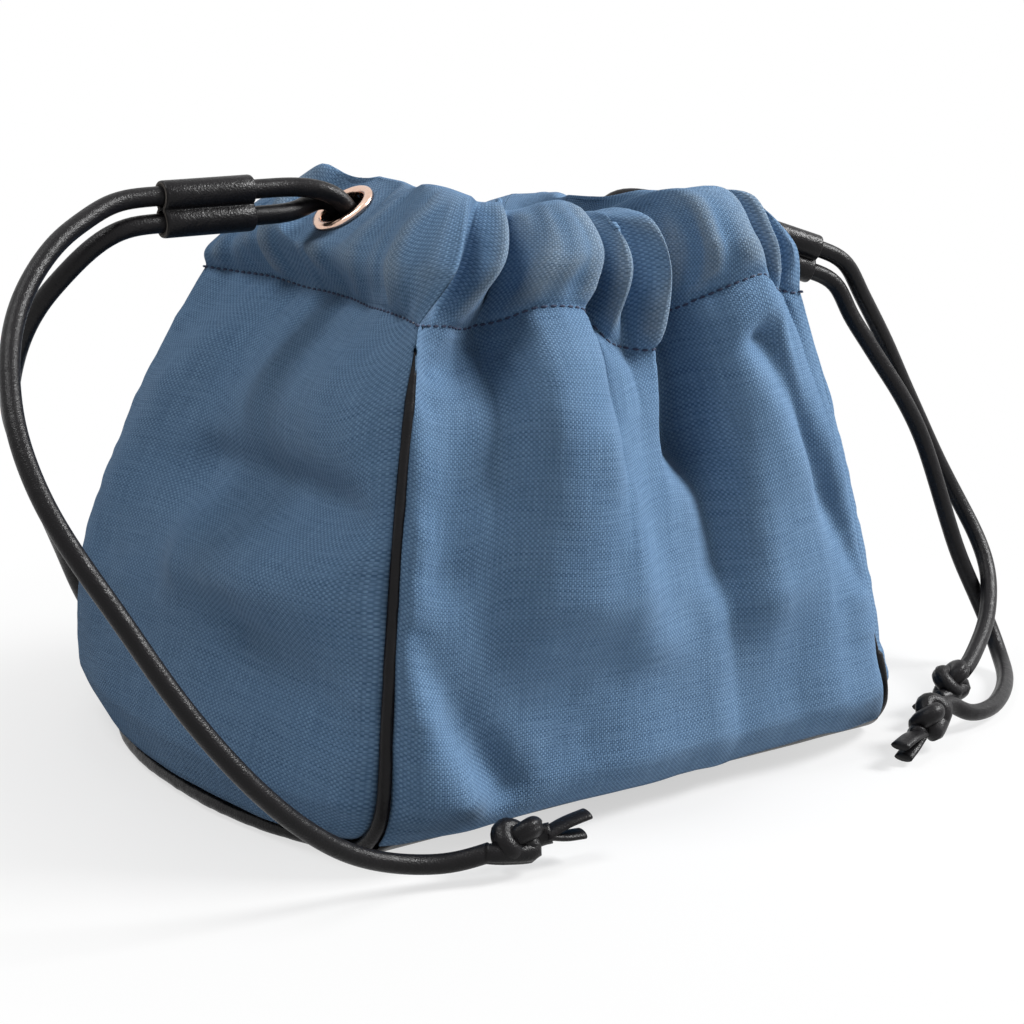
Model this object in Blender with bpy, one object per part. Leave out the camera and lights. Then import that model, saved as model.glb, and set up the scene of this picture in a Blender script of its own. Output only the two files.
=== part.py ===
"""A drawstring pouch of blue canvas on a black leather base, with leather piping and cords.

Units are metres, +Z is up and the pouch stands on z = 0. Its length lies along X and its
depth along Y, with the front panel facing -Y and the left end panel facing -X.
"""
import math

import bmesh
import bpy
import numpy as np
from mathutils import Vector

MM = 0.001

# Overall shape: the corners of the pouch at its base, and where the hem is stitched
BASE_LENGTH = 0.190
BASE_DEPTH = 0.184
MOUTH_LENGTH = 0.132
MOUTH_DEPTH = 0.132
STITCH_HEIGHT = 0.142
RIM_RISE = 0.030
TAPER_START = 0.60
END_BULGE = 0.0145
FRONT_BULGE = 0.002
SEAM_PUFF = 0.0065
SEAM_PUFF_WIDTH = 0.0034
MOUTH_DROP = 0.009
FRONT_CORNER_ROUND = 0.020
BACK_CORNER_ROUND = 0.028

# Cloth, leather and cord
CLOTH = 0.0009
BASE_LEATHER = 0.0020
BASE_SEAM_HEIGHT = 0.0065
BASE_SEAM_GAP = 0.0008
PIPING_RADIUS = 0.0021
PIPING_TOP_RADIUS = 0.0014
PIPING_LIFT = 0.0026
PIPING_SINK = 0.0009
PIPING_TOP = 0.952
PIPING_STEP = 0.012
CORD_DIAMETER = 0.0054
SEW_GAP = 0.0003
PIPING_GAP = 0.0005
HEM_SEAM_GAP = 0.0009

# The tunnel's two cord loops: each is high at its own eyelet and low at the other
LOOP_HALF_LENGTH = 0.0410
LOOP_HALF_DEPTH = 0.0383
LOOP_CLEARANCE = 0.0005
LOOP_RISE = 0.0155
LOOP_SPACING = 0.0072
LOOP_SQUARENESS = 3.0
TUNNEL_WALL_SPACE = 0.0034

# Eyelets
EYELET_FLANGE_RADIUS = 0.0100
EYELET_BORE_RADIUS = 0.0070
EYELET_TUBE_WALL = 0.0005
EYELET_FLANGE_HEIGHT = 0.0014
WASHER_THICKNESS = 0.0007
EYELET_SETBACK = 0.0187
EYELET_RISE = 0.0225
EYELET_TILT = math.radians(34)
EYELET_FLAT_RADIUS = 0.0185
EYELET_SEAT_GAP = 0.0006
EYELET_SIDES = 22

# Cord keepers, each a leather strip rolled into two barrels round the two cord ends
KEEPER_LENGTH = 0.0280
KEEPER_WALL = 0.0014
KEEPER_BORE_CLEARANCE = 0.00035
STRAND_SPACING = 0.0075

# Overhand knots
KNOT_RADIUS = 0.0077
KNOT_LENGTH = 0.0170
KNOT_TAIL_LENGTH = 0.0130
KNOT_TAIL_RADIUS = 0.0034

HALF_BASE = np.array([BASE_LENGTH, BASE_DEPTH]) / 2
HALF_MOUTH = np.array([MOUTH_LENGTH, MOUTH_DEPTH]) / 2
RIM_HEIGHT = STITCH_HEIGHT + RIM_RISE
LOOP_HEIGHT = STITCH_HEIGHT + LOOP_RISE
UP = np.array([0.0, 0.0, 1.0])

# Each panel runs along one direction, seen from outside from its left corner to its right
PANELS = {
    "front_panel": ((1, 0), (0, -1)),
    "right_end_panel": ((0, 1), (1, 0)),
    "back_panel": ((-1, 0), (0, 1)),
    "left_end_panel": ((0, -1), (-1, 0)),
}

# How each corner seam departs from the plain shape, in mm: the hem corner's shift inwards
# along X and Y, and the belly of the seam outwards at half height along X and Y
CORNERS = {
    (-1, -1): ((0, -2), (0, 0)),
    (1, -1): ((-3, -2), (-4, -3)),
    (1, 1): ((0, 4), (0, 2)),
    (-1, 1): ((5, 5), (1, 3)),
}

# Gathers, one line for each ridge or crease from corner to corner. The hem is crossed at
# three levels: stitch line, half way up and rim. Each place is a share of the half width
# along the panel (-1 to 1), then mm outwards and mm upwards from the plain shape. The last
# number is how far down the body the fold reaches, in mm.
FRONT_GATHERS = [
    ((-1.00, 0, 0), (-0.86, 5, 0), (-0.61, -14, 1), 30),
    ((-0.91, -2, -1), (-0.76, -4, 0), (-0.55, -17, -1), 30),
    ((-0.82, -3, -2), (-0.65, 4, 0), (-0.48, -12, -1), 26),
    ((-0.74, -5, -3), (-0.56, -5, 0), (-0.41, -20, -2), 26),
    ((-0.65, -6, -3), (-0.47, -13, 0), (-0.34, -24, -5), 34),
    ((-0.46, 3, 2), (-0.33, 4, 1), (-0.26, -12, -2), 60),
    ((-0.26, 5, 1), (-0.16, 4, 1), (-0.16, -12, -2), 60),
    ((-0.14, -3, -4), (-0.07, -12, -1), (-0.06, -24, -8), 40),
    ((-0.07, 1, -10), (-0.01, 5, -4), (0.02, -9, -6), 30),
    ((0.03, 0, -13), (0.06, -6, -6), (0.08, -19, -8), 30),
    ((0.14, 4, -14), (0.20, 6, -6), (0.20, -8, -7), 34),
    ((0.21, -3, -12), (0.26, -7, -4), (0.26, -20, -7), 40),
    ((0.31, -13, -8), (0.33, -15, -2), (0.33, -26, -10), 70),
    ((0.41, -1, -2), (0.40, 0, 0), (0.40, -14, -2), 60),
    ((0.55, 6, 3), (0.52, 6, 1), (0.51, -9, -1), 90),
    ((0.70, 7, 5), (0.67, 5, 1), (0.63, -11, -1), 90),
    ((0.79, 3, 1), (0.75, -5, 0), (0.69, -20, -3), 50),
    ((0.85, 2, -1), (0.81, 2, 0), (0.75, -13, -3), 26),
    ((0.90, -1, -2), (0.87, -5, 0), (0.80, -18, -6), 26),
    ((0.95, 0, -3), (0.93, 0, -2), (0.85, -14, -7), 26),
    ((1.00, 0, -3), (0.98, -2, -3), (0.88, -17, -10), 30),
]
LEFT_END_GATHERS = [
    ((-1.00, 0, 0), (-0.94, -4, -7), (-0.76, -21, -7), 30),
    ((-0.80, -4, 0), (-0.78, -3, -5), (-0.68, -21, -8), 36),
    ((-0.56, -8, 0), (-0.54, -2, -1), (-0.50, -22, 1), 50),
    ((-0.30, -10, -1), (-0.28, -1, 3), (-0.28, -20, 5), 60),
    ((-0.10, -11, -1), (-0.09, -4, 1), (-0.09, -29, 1), 60),
    ((0.12, -11, -1), (0.12, -5, 0), (0.12, -29, 1), 60),
    ((0.36, -8, -1), (0.36, -3, 0), (0.34, -25, 1), 50),
    ((0.56, -5, 0), (0.58, -4, 0), (0.50, -22, 3), 40),
    ((0.80, -3, 0), (0.82, 0, 1), (0.66, -22, 3), 30),
    ((1.00, 0, 0), (1.04, -9, 0), (0.79, -28, 1), 30),
]
RIGHT_END_GATHERS = [
    ((-1.00, 0, -3), (-0.97, -2, -3), (-0.76, -9, -10), 30),
    ((-0.80, -2, -1), (-0.80, 1, -3), (-0.62, -14, -8), 36),
    ((-0.50, -7, -1), (-0.50, 0, -1), (-0.40, -20, -4), 50),
    ((-0.12, -11, -1), (-0.12, -4, -1), (-0.11, -29, 1), 60),
    ((0.12, -11, -1), (0.12, -4, -1), (0.11, -29, 1), 60),
    ((0.42, -7, -1), (0.42, 0, -1), (0.36, -22, -1), 50),
    ((0.75, -3, 0), (0.76, 1, 0), (0.60, -20, -3), 36),
    ((1.00, 0, 0), (0.97, -3, -1), (0.78, -22, -4), 30),
]
BACK_GATHERS = [
    ((-1.00, 0, 0), (-0.96, -3, -1), (-0.66, -16, -4), 30),
    ((-0.80, 4, 1), (-0.72, 5, 0), (-0.55, -10, -7), 60),
    ((-0.62, -7, -2), (-0.55, -9, 0), (-0.44, -20, -8), 50),
    ((-0.42, 5, 1), (-0.38, 5, 0), (-0.32, -10, -4), 60),
    ((-0.22, -9, -4), (-0.22, -10, 0), (-0.20, -20, -6), 60),
    ((0.00, 6, 1), (-0.02, 5, 0), (-0.05, -9, -5), 80),
    ((0.22, -8, -3), (0.18, -10, 0), (0.12, -20, -6), 60),
    ((0.42, 5, 1), (0.36, 5, 0), (0.28, -10, -5), 60),
    ((0.60, -6, -2), (0.52, -8, 0), (0.42, -18, -6), 50),
    ((0.80, 4, 0), (0.74, 5, -2), (0.56, -11, -6), 50),
    ((1.00, 0, 0), (1.00, -4, -7), (0.68, -16, -7), 30),
]
GATHERS = {
    "front_panel": FRONT_GATHERS,
    "right_end_panel": RIGHT_END_GATHERS,
    "back_panel": BACK_GATHERS,
    "left_end_panel": LEFT_END_GATHERS,
}

# Long soft folds in the body, from one place to another: share of the half width, share of
# the stitch height, height of the fold outwards in mm and half its width in mm
BODY_FOLDS = {
    "front_panel": [
        ((-0.95, 0.76), (-0.47, 1.00), 5.5, 10),
        ((-0.92, 0.93), (-0.72, 0.90), -4.0, 9),
        ((0.54, 0.27), (0.61, 0.97), 9.0, 12),
        ((0.68, 0.88), (0.95, 0.38), -3.5, 6),
        ((0.17, 0.92), (0.27, 0.62), -9.0, 12),
        ((-0.30, 0.76), (-0.08, 0.36), 5.5, 10),
        ((-0.95, 0.50), (-0.49, 0.18), 5.5, 8),
        ((-0.66, 0.44), (-0.35, 0.24), -3.0, 9),
        ((-0.78, 0.24), (-0.92, 0.12), -3.0, 8),
    ],
    "left_end_panel": [
        ((0.05, 0.62), (0.95, 0.69), 5.0, 8),
        ((0.30, 0.80), (0.93, 0.78), -6.0, 10),
        ((0.45, 0.44), (0.78, 0.38), -3.5, 13),
        ((-0.60, 0.86), (-0.85, 0.40), 3.0, 10),
    ],
    "right_end_panel": [
        ((-0.10, 0.90), (0.15, 0.35), 5.0, 13),
        ((0.55, 0.85), (0.45, 0.50), -4.0, 11),
    ],
    "back_panel": [
        ((-0.50, 0.90), (-0.35, 0.40), 5.5, 13),
        ((0.10, 0.92), (0.05, 0.55), -5.0, 12),
        ((0.55, 0.88), (0.70, 0.45), 5.0, 12),
    ],
}

BODY_ROWS = (0.0, 0.04, 0.17, 0.33, 0.49, 0.64, 0.78, 0.90, 0.957, 0.968)
HEM_STEPS = (1.0, 1.5, 2.0, 2.6, 3.0, 4.0, 5.0, 6.0)
COLUMNS_PER_GATHER = 2

CANVAS_BLUE = (0.085, 0.17, 0.33)
LEATHER_BLACK = (0.012, 0.012, 0.013)
ROSE_GOLD = (0.72, 0.47, 0.36)


def material(name, color, roughness, metallic=0.0):
    made = bpy.data.materials.new(name)
    made.use_nodes = True
    shader = made.node_tree.nodes["Principled BSDF"]
    shader.inputs["Base Color"].default_value = (*color, 1)
    shader.inputs["Roughness"].default_value = roughness
    shader.inputs["Metallic"].default_value = metallic
    return made


def through(points, place):
    """Places on the smooth curve through the points; place counts points from 0."""
    points = np.asarray(points, float)
    ends = [2 * points[0] - points[1], 2 * points[-1] - points[-2]]
    padded = np.vstack([ends[:1], points, ends[1:]])
    place = np.clip(np.asarray(place, float), 0, len(points) - 1)
    start = np.minimum(place.astype(int), len(points) - 2)
    t = (place - start).reshape(place.shape + (1,))
    before, first, last, after = (padded[start + i] for i in range(4))
    return 0.5 * (
        2 * first
        + (last - before) * t
        + (2 * before - 5 * first + 4 * last - after) * t**2
        + (3 * first - before - 3 * last + after) * t**3
    )


def evenly(points, spacing, first=0, last=None):
    """The smooth curve from one of the points to another, as points about a spacing apart."""
    last = len(points) - 1 if last is None else last
    fine = through(points, np.linspace(first, last, 40 * len(points)))
    along = np.concatenate([[0], np.cumsum(np.linalg.norm(np.diff(fine, axis=0), axis=1))])
    count = max(2, round(along[-1] / spacing) + 1)
    wanted = np.linspace(0, along[-1], count)
    return np.stack([np.interp(wanted, along, fine[:, i]) for i in range(3)], axis=1)


def rounding(height, radius):
    """How far a corner of this radius draws a wall in at this height above its foot."""
    below = np.clip(1 - height / radius, 0, 1)
    return radius * (1 - np.sqrt(1 - below**2))


def mouth_drop(x, y):
    """How far the mouth sags towards its right end and back, in metres."""
    rightwards = np.clip((x / LOOP_HALF_LENGTH + 1) / 2, 0, 1)
    backwards = np.clip(y / LOOP_HALF_DEPTH + 1, 0, 1)
    ease = [t * t * (3 - 2 * t) for t in (rightwards, backwards)]
    return MOUTH_DROP * ease[0] * ease[1]


def piping_radius(h):
    """The piping is fullest round the base and slimmer up the corner seams."""
    return PIPING_TOP_RADIUS + (PIPING_RADIUS - PIPING_TOP_RADIUS) * (1 - h) ** 2


def corner_round(sy):
    return FRONT_CORNER_ROUND if sy < 0 else BACK_CORNER_ROUND


def corner(sx, sy, h):
    """The seam's place in plan at a share h of the stitch height, before its foot rounds."""
    (shift_x, shift_y), (belly_x, belly_y) = CORNERS[(sx, sy)]
    drop = TAPER_START * h + (1 - TAPER_START) * h**3
    half = HALF_BASE + np.multiply.outer(drop, HALF_MOUTH - HALF_BASE)
    belly = 4 * h * (1 - h)
    x = half[..., 0] - shift_x * MM * h**2 + belly_x * MM * belly
    y = half[..., 1] - shift_y * MM * h**2 + belly_y * MM * belly
    return np.stack([sx * x, sy * y], axis=-1)


def fold_relief(name, across, h):
    """The body's long soft folds at each place, in metres outwards."""
    half_width = HALF_MOUTH[0] if name in ("front_panel", "back_panel") else HALF_MOUTH[1]
    total = np.zeros_like(across)
    place = np.stack([across * half_width, h * STITCH_HEIGHT], axis=-1)
    for start, end, rise, width in BODY_FOLDS.get(name, ()):
        a = np.array([start[0] * half_width, start[1] * STITCH_HEIGHT])
        b = np.array([end[0] * half_width, end[1] * STITCH_HEIGHT])
        t = ((place - a) @ (b - a)) / ((b - a) @ (b - a))
        near = a + np.clip(t, 0, 1)[..., None] * (b - a)
        distance = np.linalg.norm(place - near, axis=-1)
        total += rise * MM * np.exp(-((distance / (width * MM)) ** 2))
    return total * (1 - across**6) * np.clip(h / 0.12, 0, 1)


def wall(name, across, h, seam_gap=PIPING_GAP):
    """The body before gathering; across runs from -1 to 1, h is a share of its height."""
    closed = np.clip((h - PIPING_TOP - 0.006) / 0.008, 0, 1)
    inset = piping_radius(h) + PIPING_SINK + seam_gap if seam_gap else 0 * h
    inset = inset * (1 - closed) + HEM_SEAM_GAP / 2 * closed * bool(seam_gap)
    along, outward = (np.array([*v, 0.0]) for v in PANELS[name])
    signs = [tuple(int(s) for s in (side * along + outward)[:2]) for side in (-1, 1)]
    height = h * STITCH_HEIGHT
    is_end = "end" in name
    ends = []
    for side, sign in zip((-1, 1), signs):
        plan = corner(*sign, h)
        if is_end:
            edge = inset
            radius = corner_round(sign[1]) - edge
            foot = PIPING_LIFT + edge
            drawn_in = edge + rounding(height - foot, radius)
            plan = plan - np.stack([np.zeros_like(h), sign[1] * drawn_in], axis=-1)
        else:
            radius = corner_round(sign[1])
            drawn_in = rounding(height, radius)
            plan = plan - np.stack([sign[0] * inset, sign[1] * drawn_in], axis=-1)
        ends.append(plan)
    share = ((across + 1) / 2)[..., None]
    plan = ends[0] * (1 - share) + ends[1] * share
    bulge = END_BULGE if is_end else FRONT_BULGE
    swell = bulge * (1 - h) * (1 - np.abs(across) ** 2.4) + fold_relief(name, across, h)
    from_seam = (1 - np.abs(across)) * np.linalg.norm(ends[1] - ends[0], axis=-1) / 2
    puff = SEAM_PUFF * (1 - np.exp(-from_seam / SEAM_PUFF_WIDTH))
    swell = swell + puff * np.clip(h / 0.12, 0, 1) * (1 - h**6)
    plan = plan + swell[..., None] * outward[:2]
    return np.concatenate([plan, height[..., None] * np.ones_like(plan[..., :1])], axis=-1)


def gather_points(name):
    """The gathers' crossings with stitch line, half height and rim, and their reach."""
    along, outward = (np.array([*v, 0.0]) for v in PANELS[name])
    levels = (STITCH_HEIGHT, STITCH_HEIGHT + RIM_RISE / 2, RIM_HEIGHT)
    found = [[], [], []]
    reach = []
    signs = [tuple(int(s) for s in (side * along + outward)[:2]) for side in (-1, 1)]
    plain = [corner(*sign, np.array(1.0)) for sign in signs]
    for *crossings, depth in GATHERS[name]:
        for level, (share, out, rise) in enumerate(crossings):
            mix = (share + 1) / 2
            plan = plain[0] * (1 - mix) + plain[1] * mix + out * MM * outward[:2]
            height = levels[level] + rise * MM - mouth_drop(*plan)
            found[level].append([*plan, height])
        reach.append([depth * MM])
    for end in (0, -1):
        for level in range(3):
            found[level][end] = shared_corner(name, end, level, found[level][end])
    return [np.array(level) for level in found], np.array(reach)


def shared_corner(name, end, level, own):
    """The front panel's corner places are used by both end panels, the back's likewise."""
    if name in ("front_panel", "back_panel"):
        return own
    order = list(PANELS)
    index = order.index(name)
    other = order[index - 1] if end == 0 else order[(index + 1) % len(order)]
    theirs, reach = gather_points(other)
    return theirs[level][-1 if end == 0 else 0]


def inner_wall(rim, across, height):
    """Where the hem's inner ply stands behind the cords, from the rim's one end to the other."""
    room = CORD_DIAMETER / 2 + TUNNEL_WALL_SPACE
    half = np.array([LOOP_HALF_LENGTH, LOOP_HALF_DEPTH]) - room
    share = ((across + 1) / 2)[:, None]
    plan = rim[0, :2] * (1 - share) + rim[-1, :2] * share
    scale = (np.abs(plan / half) ** LOOP_SQUARENESS).sum(axis=1) ** (1 / LOOP_SQUARENESS)
    found = plan / scale[:, None]
    beside = found * [LOOP_HALF_LENGTH, LOOP_HALF_DEPTH] / half
    return np.column_stack([found, height - mouth_drop(beside[:, 0], beside[:, 1])])


def panel_surface(name):
    """The panel's outer face as rows of points, from its base seam to its folded-in hem."""
    (stitch, middle, rim), reach = gather_points(name)
    columns = (len(stitch) - 1) * COLUMNS_PER_GATHER + 1
    outward = np.array([*PANELS[name][1], 0.0])
    along = np.array([*PANELS[name][0], 0.0])
    place = np.linspace(0, len(stitch) - 1, columns)
    at_stitch = through(stitch, place)
    at_middle = through(middle, place)
    at_rim = through(rim, place)
    depth = np.maximum(through(reach, place), 0.02)
    steps = np.linalg.norm(np.diff(at_stitch, axis=0), axis=1)
    across = 2 * np.concatenate([[0], np.cumsum(steps)]) / steps.sum() - 1
    plain = wall(name, across, np.ones_like(across), 0)
    moved = at_stitch - plain
    is_end = "end" in name
    above_piping = PIPING_LIFT + PIPING_RADIUS + PIPING_GAP + PIPING_SINK
    foot = above_piping if is_end else BASE_SEAM_HEIGHT
    lowest = foot / STITCH_HEIGHT
    rows = []
    for row in BODY_ROWS:
        h = lowest + (1 - lowest) * row
        below = (1 - h) * STITCH_HEIGHT
        kept = np.exp(-((below / depth) ** 1.4))
        height = np.full_like(across, h)
        rows.append(wall(name, across, height) + moved * kept)
    last = wall(name, across, height, 0) + moved * kept
    side = np.sign(across) * (np.abs(across) > 1 - 1e-9)
    corner_side = side[:, None] * along
    ply = 2 * CLOTH + SEW_GAP
    facing = np.cross(np.gradient(at_stitch, axis=0), UP)
    facing /= np.linalg.norm(facing, axis=1, keepdims=True)
    facing = np.where(side[:, None] == 0, facing, outward + corner_side)
    inside = at_stitch - ply * facing - 0.001 * UP * np.where(side == 0, 1, -1)[:, None]
    loop_top = LOOP_HEIGHT + CORD_DIAMETER / 2
    loop_foot = LOOP_HEIGHT - LOOP_SPACING - CORD_DIAMETER / 2 - LOOP_CLEARANCE
    walls = [inner_wall(at_rim, across, height) for height in (loop_top, loop_foot)]
    path = np.stack([last, at_stitch, at_middle, at_rim, *walls, inside])
    path -= corner_side * HEM_SEAM_GAP / 2
    hem = [through(path, np.array(step)) for step in HEM_STEPS]
    grid = np.stack(rows + hem)
    if name in EYELETS:
        at_top = len(rows) + HEM_STEPS.index(3.0) + 1
        grid = flatten_for_eyelet(grid, EYELETS[name], len(rows) + 1, at_top)
    return grid


def eyelet_place(side):
    """The eyelet's centre on the hem's outer face, and the direction it faces."""
    reach = HALF_MOUTH[0] - EYELET_SETBACK
    height = STITCH_HEIGHT + EYELET_RISE - float(mouth_drop(side * reach, 0))
    centre = Vector((side * reach, 0, height))
    facing = Vector((side * math.sin(EYELET_TILT), 0, math.cos(EYELET_TILT)))
    return centre, facing


EYELETS = {"left_end_panel": eyelet_place(-1), "right_end_panel": eyelet_place(1)}


def flatten_for_eyelet(grid, eyelet, first_row, last_row):
    """The hem lies flat where the eyelet clamps it."""
    centre, facing = (np.array(v) for v in eyelet)
    part = grid[first_row:last_row]
    away = part - centre
    height = away @ facing
    flat = part - height[..., None] * facing
    distance = np.linalg.norm(flat - centre, axis=-1)
    weight = np.clip((EYELET_FLAT_RADIUS * 1.3 - distance) / (EYELET_FLAT_RADIUS * 0.3), 0, 1)
    shift = (flat - part) * (weight * weight * (3 - 2 * weight))[..., None]
    part += shift
    grid[last_row] += shift[-1] * 0.8
    grid[last_row + 1] += shift[-1] * 0.3
    return grid


def facing_out(grid):
    normal = np.cross(np.gradient(grid, axis=1), np.gradient(grid, axis=0))
    return normal / np.linalg.norm(normal, axis=-1, keepdims=True)


def mitre_seams(normals):
    """In the hem, two panels meet at a corner seam on the plane halfway between them."""
    order = list(PANELS)
    first_row = len(BODY_ROWS) - 1
    for name, following in zip(order, order[1:] + order[:1]):
        ours = normals[name][first_row:, -1]
        theirs = normals[following][first_row:, 0]
        spread = np.maximum(1 + (ours * theirs).sum(axis=1), 1.0)
        shared = (ours + theirs) / spread[:, None]
        normals[name][first_row:, -1] = shared
        normals[following][first_row:, 0] = shared


def sheet_object(name, grid, normal, thickness, surface_material):
    """A closed solid from the rows of points of its outer face."""
    inside = grid - normal * thickness
    rows, columns = grid.shape[:2]
    mesh = bpy.data.meshes.new(name)
    count = rows * columns
    points = np.concatenate([grid.reshape(-1, 3), inside.reshape(-1, 3)])
    faces = []
    for r in range(rows - 1):
        for c in range(columns - 1):
            a = r * columns + c
            b = a + columns
            faces.append((a, a + 1, b + 1, b))
            faces.append((count + a, count + b, count + b + 1, count + a + 1))
    rim = [c for c in range(columns)]
    rim += [r * columns + columns - 1 for r in range(1, rows)]
    rim += [(rows - 1) * columns + c for c in range(columns - 2, -1, -1)]
    rim += [r * columns for r in range(rows - 2, 0, -1)]
    for a, b in zip(rim, rim[1:] + rim[:1]):
        faces.append((b, a, count + a, count + b))
    mesh.from_pydata(points.tolist(), [], faces)
    return finished(name, mesh, surface_material)


def finished(name, mesh, surface_material, smooth=True):
    mesh.materials.append(surface_material)
    if smooth:
        mesh.shade_smooth()
    made = bpy.data.objects.new(name, mesh)
    bpy.context.scene.collection.objects.link(made)
    return made


def cut(target, tool):
    tool.hide_render = True
    tool.display_type = "WIRE"
    modifier = target.modifiers.new(tool.name, "BOOLEAN")
    modifier.operation = "DIFFERENCE"
    modifier.object = tool


def join(target, tool):
    cut(target, tool)
    target.modifiers[-1].operation = "UNION"


def cylinder(name, radius, length, sides, surface_material):
    mesh = bpy.data.meshes.new(name)
    shape = bmesh.new()
    bmesh.ops.create_cone(
        shape, cap_ends=True, segments=sides, radius1=radius, radius2=radius, depth=length
    )
    shape.to_mesh(mesh)
    shape.free()
    return finished(name, mesh, surface_material, smooth=False)


def aim(made, place, direction, up=(0, 1, 0)):
    """Puts an object at a place with its own Z along the direction."""
    z = Vector(direction).normalized()
    x = Vector(up).cross(z).normalized()
    y = z.cross(x)
    made.rotation_mode = "QUATERNION"
    rows = [[x[i], y[i], z[i]] for i in range(3)]
    from_axes = made.matrix_world.to_3x3()
    for i in range(3):
        from_axes[i] = rows[i]
    made.rotation_quaternion = from_axes.to_quaternion()
    made.location = place


def turned(name, profile, sides, surface_material):
    """A closed ring or spindle from a profile of (radius, height) places."""
    mesh = bpy.data.meshes.new(name)
    points = []
    faces = []
    rings = []
    for radius, height in profile:
        if radius == 0:
            rings.append([len(points)] * sides)
            points.append((0, 0, height))
            continue
        rings.append(list(range(len(points), len(points) + sides)))
        for i in range(sides):
            angle = 2 * math.pi * i / sides
            points.append((radius * math.cos(angle), radius * math.sin(angle), height))
    spans = list(zip(rings, rings[1:]))
    if profile[0][0] > 0:
        spans.append((rings[-1], rings[0]))
    for low, high in spans:
        for i in range(sides):
            j = (i + 1) % sides
            face = [low[i], low[j], high[j], high[i]]
            faces.append([v for k, v in enumerate(face) if v not in face[:k]])
    mesh.from_pydata(points, [], faces)
    return finished(name, mesh, surface_material)


def tube(name, points, diameter, surface_material):
    """A round cord as a curve with filled ends."""
    curve = bpy.data.curves.new(name, "CURVE")
    curve.dimensions = "3D"
    spline = curve.splines.new("POLY")
    spline.points.add(len(points) - 1)
    for point, place in zip(spline.points, points):
        point.co = (*place, 1)
    curve.bevel_depth = diameter / 2
    curve.bevel_resolution = 2
    curve.use_fill_caps = True
    curve.materials.append(surface_material)
    made = bpy.data.objects.new(name, curve)
    bpy.context.scene.collection.objects.link(made)
    return made


def make_panels(canvas):
    grids = {name: panel_surface(name) for name in PANELS}
    normals = {name: facing_out(grid) for name, grid in grids.items()}
    mitre_seams(normals)
    panels = {}
    for name, grid in grids.items():
        panels[name] = sheet_object(name, grid, normals[name], CLOTH, canvas)
    return panels


def seam_under(side, y, z):
    """How far out along X the end seam runs at a place on the pouch's underside."""
    h = np.array(z / STITCH_HEIGHT)
    front = corner(side, -1, h)
    back = corner(side, 1, h)
    low = front[1] + corner_round(-1)
    high = back[1] - corner_round(1)
    t = np.clip((2 * y - low - high) / (high - low), -1, 1)
    x = front[0] + (back[0] - front[0]) * (t + 1) / 2
    return x + side * END_BULGE * (1 - abs(t) ** 2.4)


def make_base(leather):
    """The leather base, flat under the pouch and turned up to the panels along its sides."""
    top = BASE_SEAM_HEIGHT - BASE_SEAM_GAP
    sides = []
    for sy in (-1, 1):
        radius = corner_round(sy)
        start = math.acos(1 - top / radius)
        angles = [start * i / 4 for i in range(4, -1, -1)]
        flat = HALF_BASE[1] - radius
        turn = [(sy * (flat + radius * math.sin(a)), radius * (1 - math.cos(a))) for a in angles]
        sides.append(turn)
    middle = [(y, 0.0) for y in np.linspace(sides[0][-1][0], sides[1][-1][0], 14)[1:-1]]
    profile = sides[0] + middle + sides[1][::-1]
    inset = PIPING_RADIUS + PIPING_GAP + SEW_GAP + PIPING_SINK
    grid = []
    for y, z in profile[::-1]:
        left = seam_under(-1, y, PIPING_LIFT + z) + inset
        right = seam_under(1, y, PIPING_LIFT + z) - inset
        grid.append([(x, y, z) for x in np.linspace(left, right, 5)])
    grid = np.array(grid)
    return sheet_object("base_panel", grid, facing_out(grid), BASE_LEATHER, leather)


def make_piping(name, side, leather):
    """Leather piping sewn in round the U of an end panel: down, under and up again."""
    foot = PIPING_LIFT
    legs = []
    for sy in (-1, 1):
        radius = corner_round(sy)
        leg = []
        panel = "front_panel" if sy < 0 else "back_panel"
        (stitch, middle, rim), reach = gather_points(panel)
        highest = PIPING_TOP * stitch[0 if side == sy else -1][2] / STITCH_HEIGHT
        for h in np.linspace(highest, (foot + radius) / STITCH_HEIGHT, 8):
            x, y = corner(side, sy, h)
            leg.append((x - side * PIPING_SINK, y - sy * PIPING_SINK, h * STITCH_HEIGHT))
        for turn in (30, 60, 82):
            angle = math.radians(turn)
            z = foot + radius * (1 - math.sin(angle))
            x, y = corner(side, sy, z / STITCH_HEIGHT)
            drawn_in = radius * (1 - math.cos(angle)) + PIPING_SINK * math.cos(angle)
            leg.append((x - side * PIPING_SINK, y - sy * drawn_in, z))
        legs.append(leg)
    low = legs[0][-1][1]
    high = legs[1][-1][1]
    across = np.linspace(low, high, 13)[1:-1]
    under = [(seam_under(side, y, foot) - side * PIPING_SINK, y, foot) for y in across]
    points = evenly(legs[0] + under + legs[1][::-1], PIPING_STEP)
    piping = tube(name, points, 2 * PIPING_RADIUS, leather)
    for point in piping.data.splines[0].points:
        point.radius = piping_radius(point.co.z / STITCH_HEIGHT) / PIPING_RADIUS
    return piping


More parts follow.
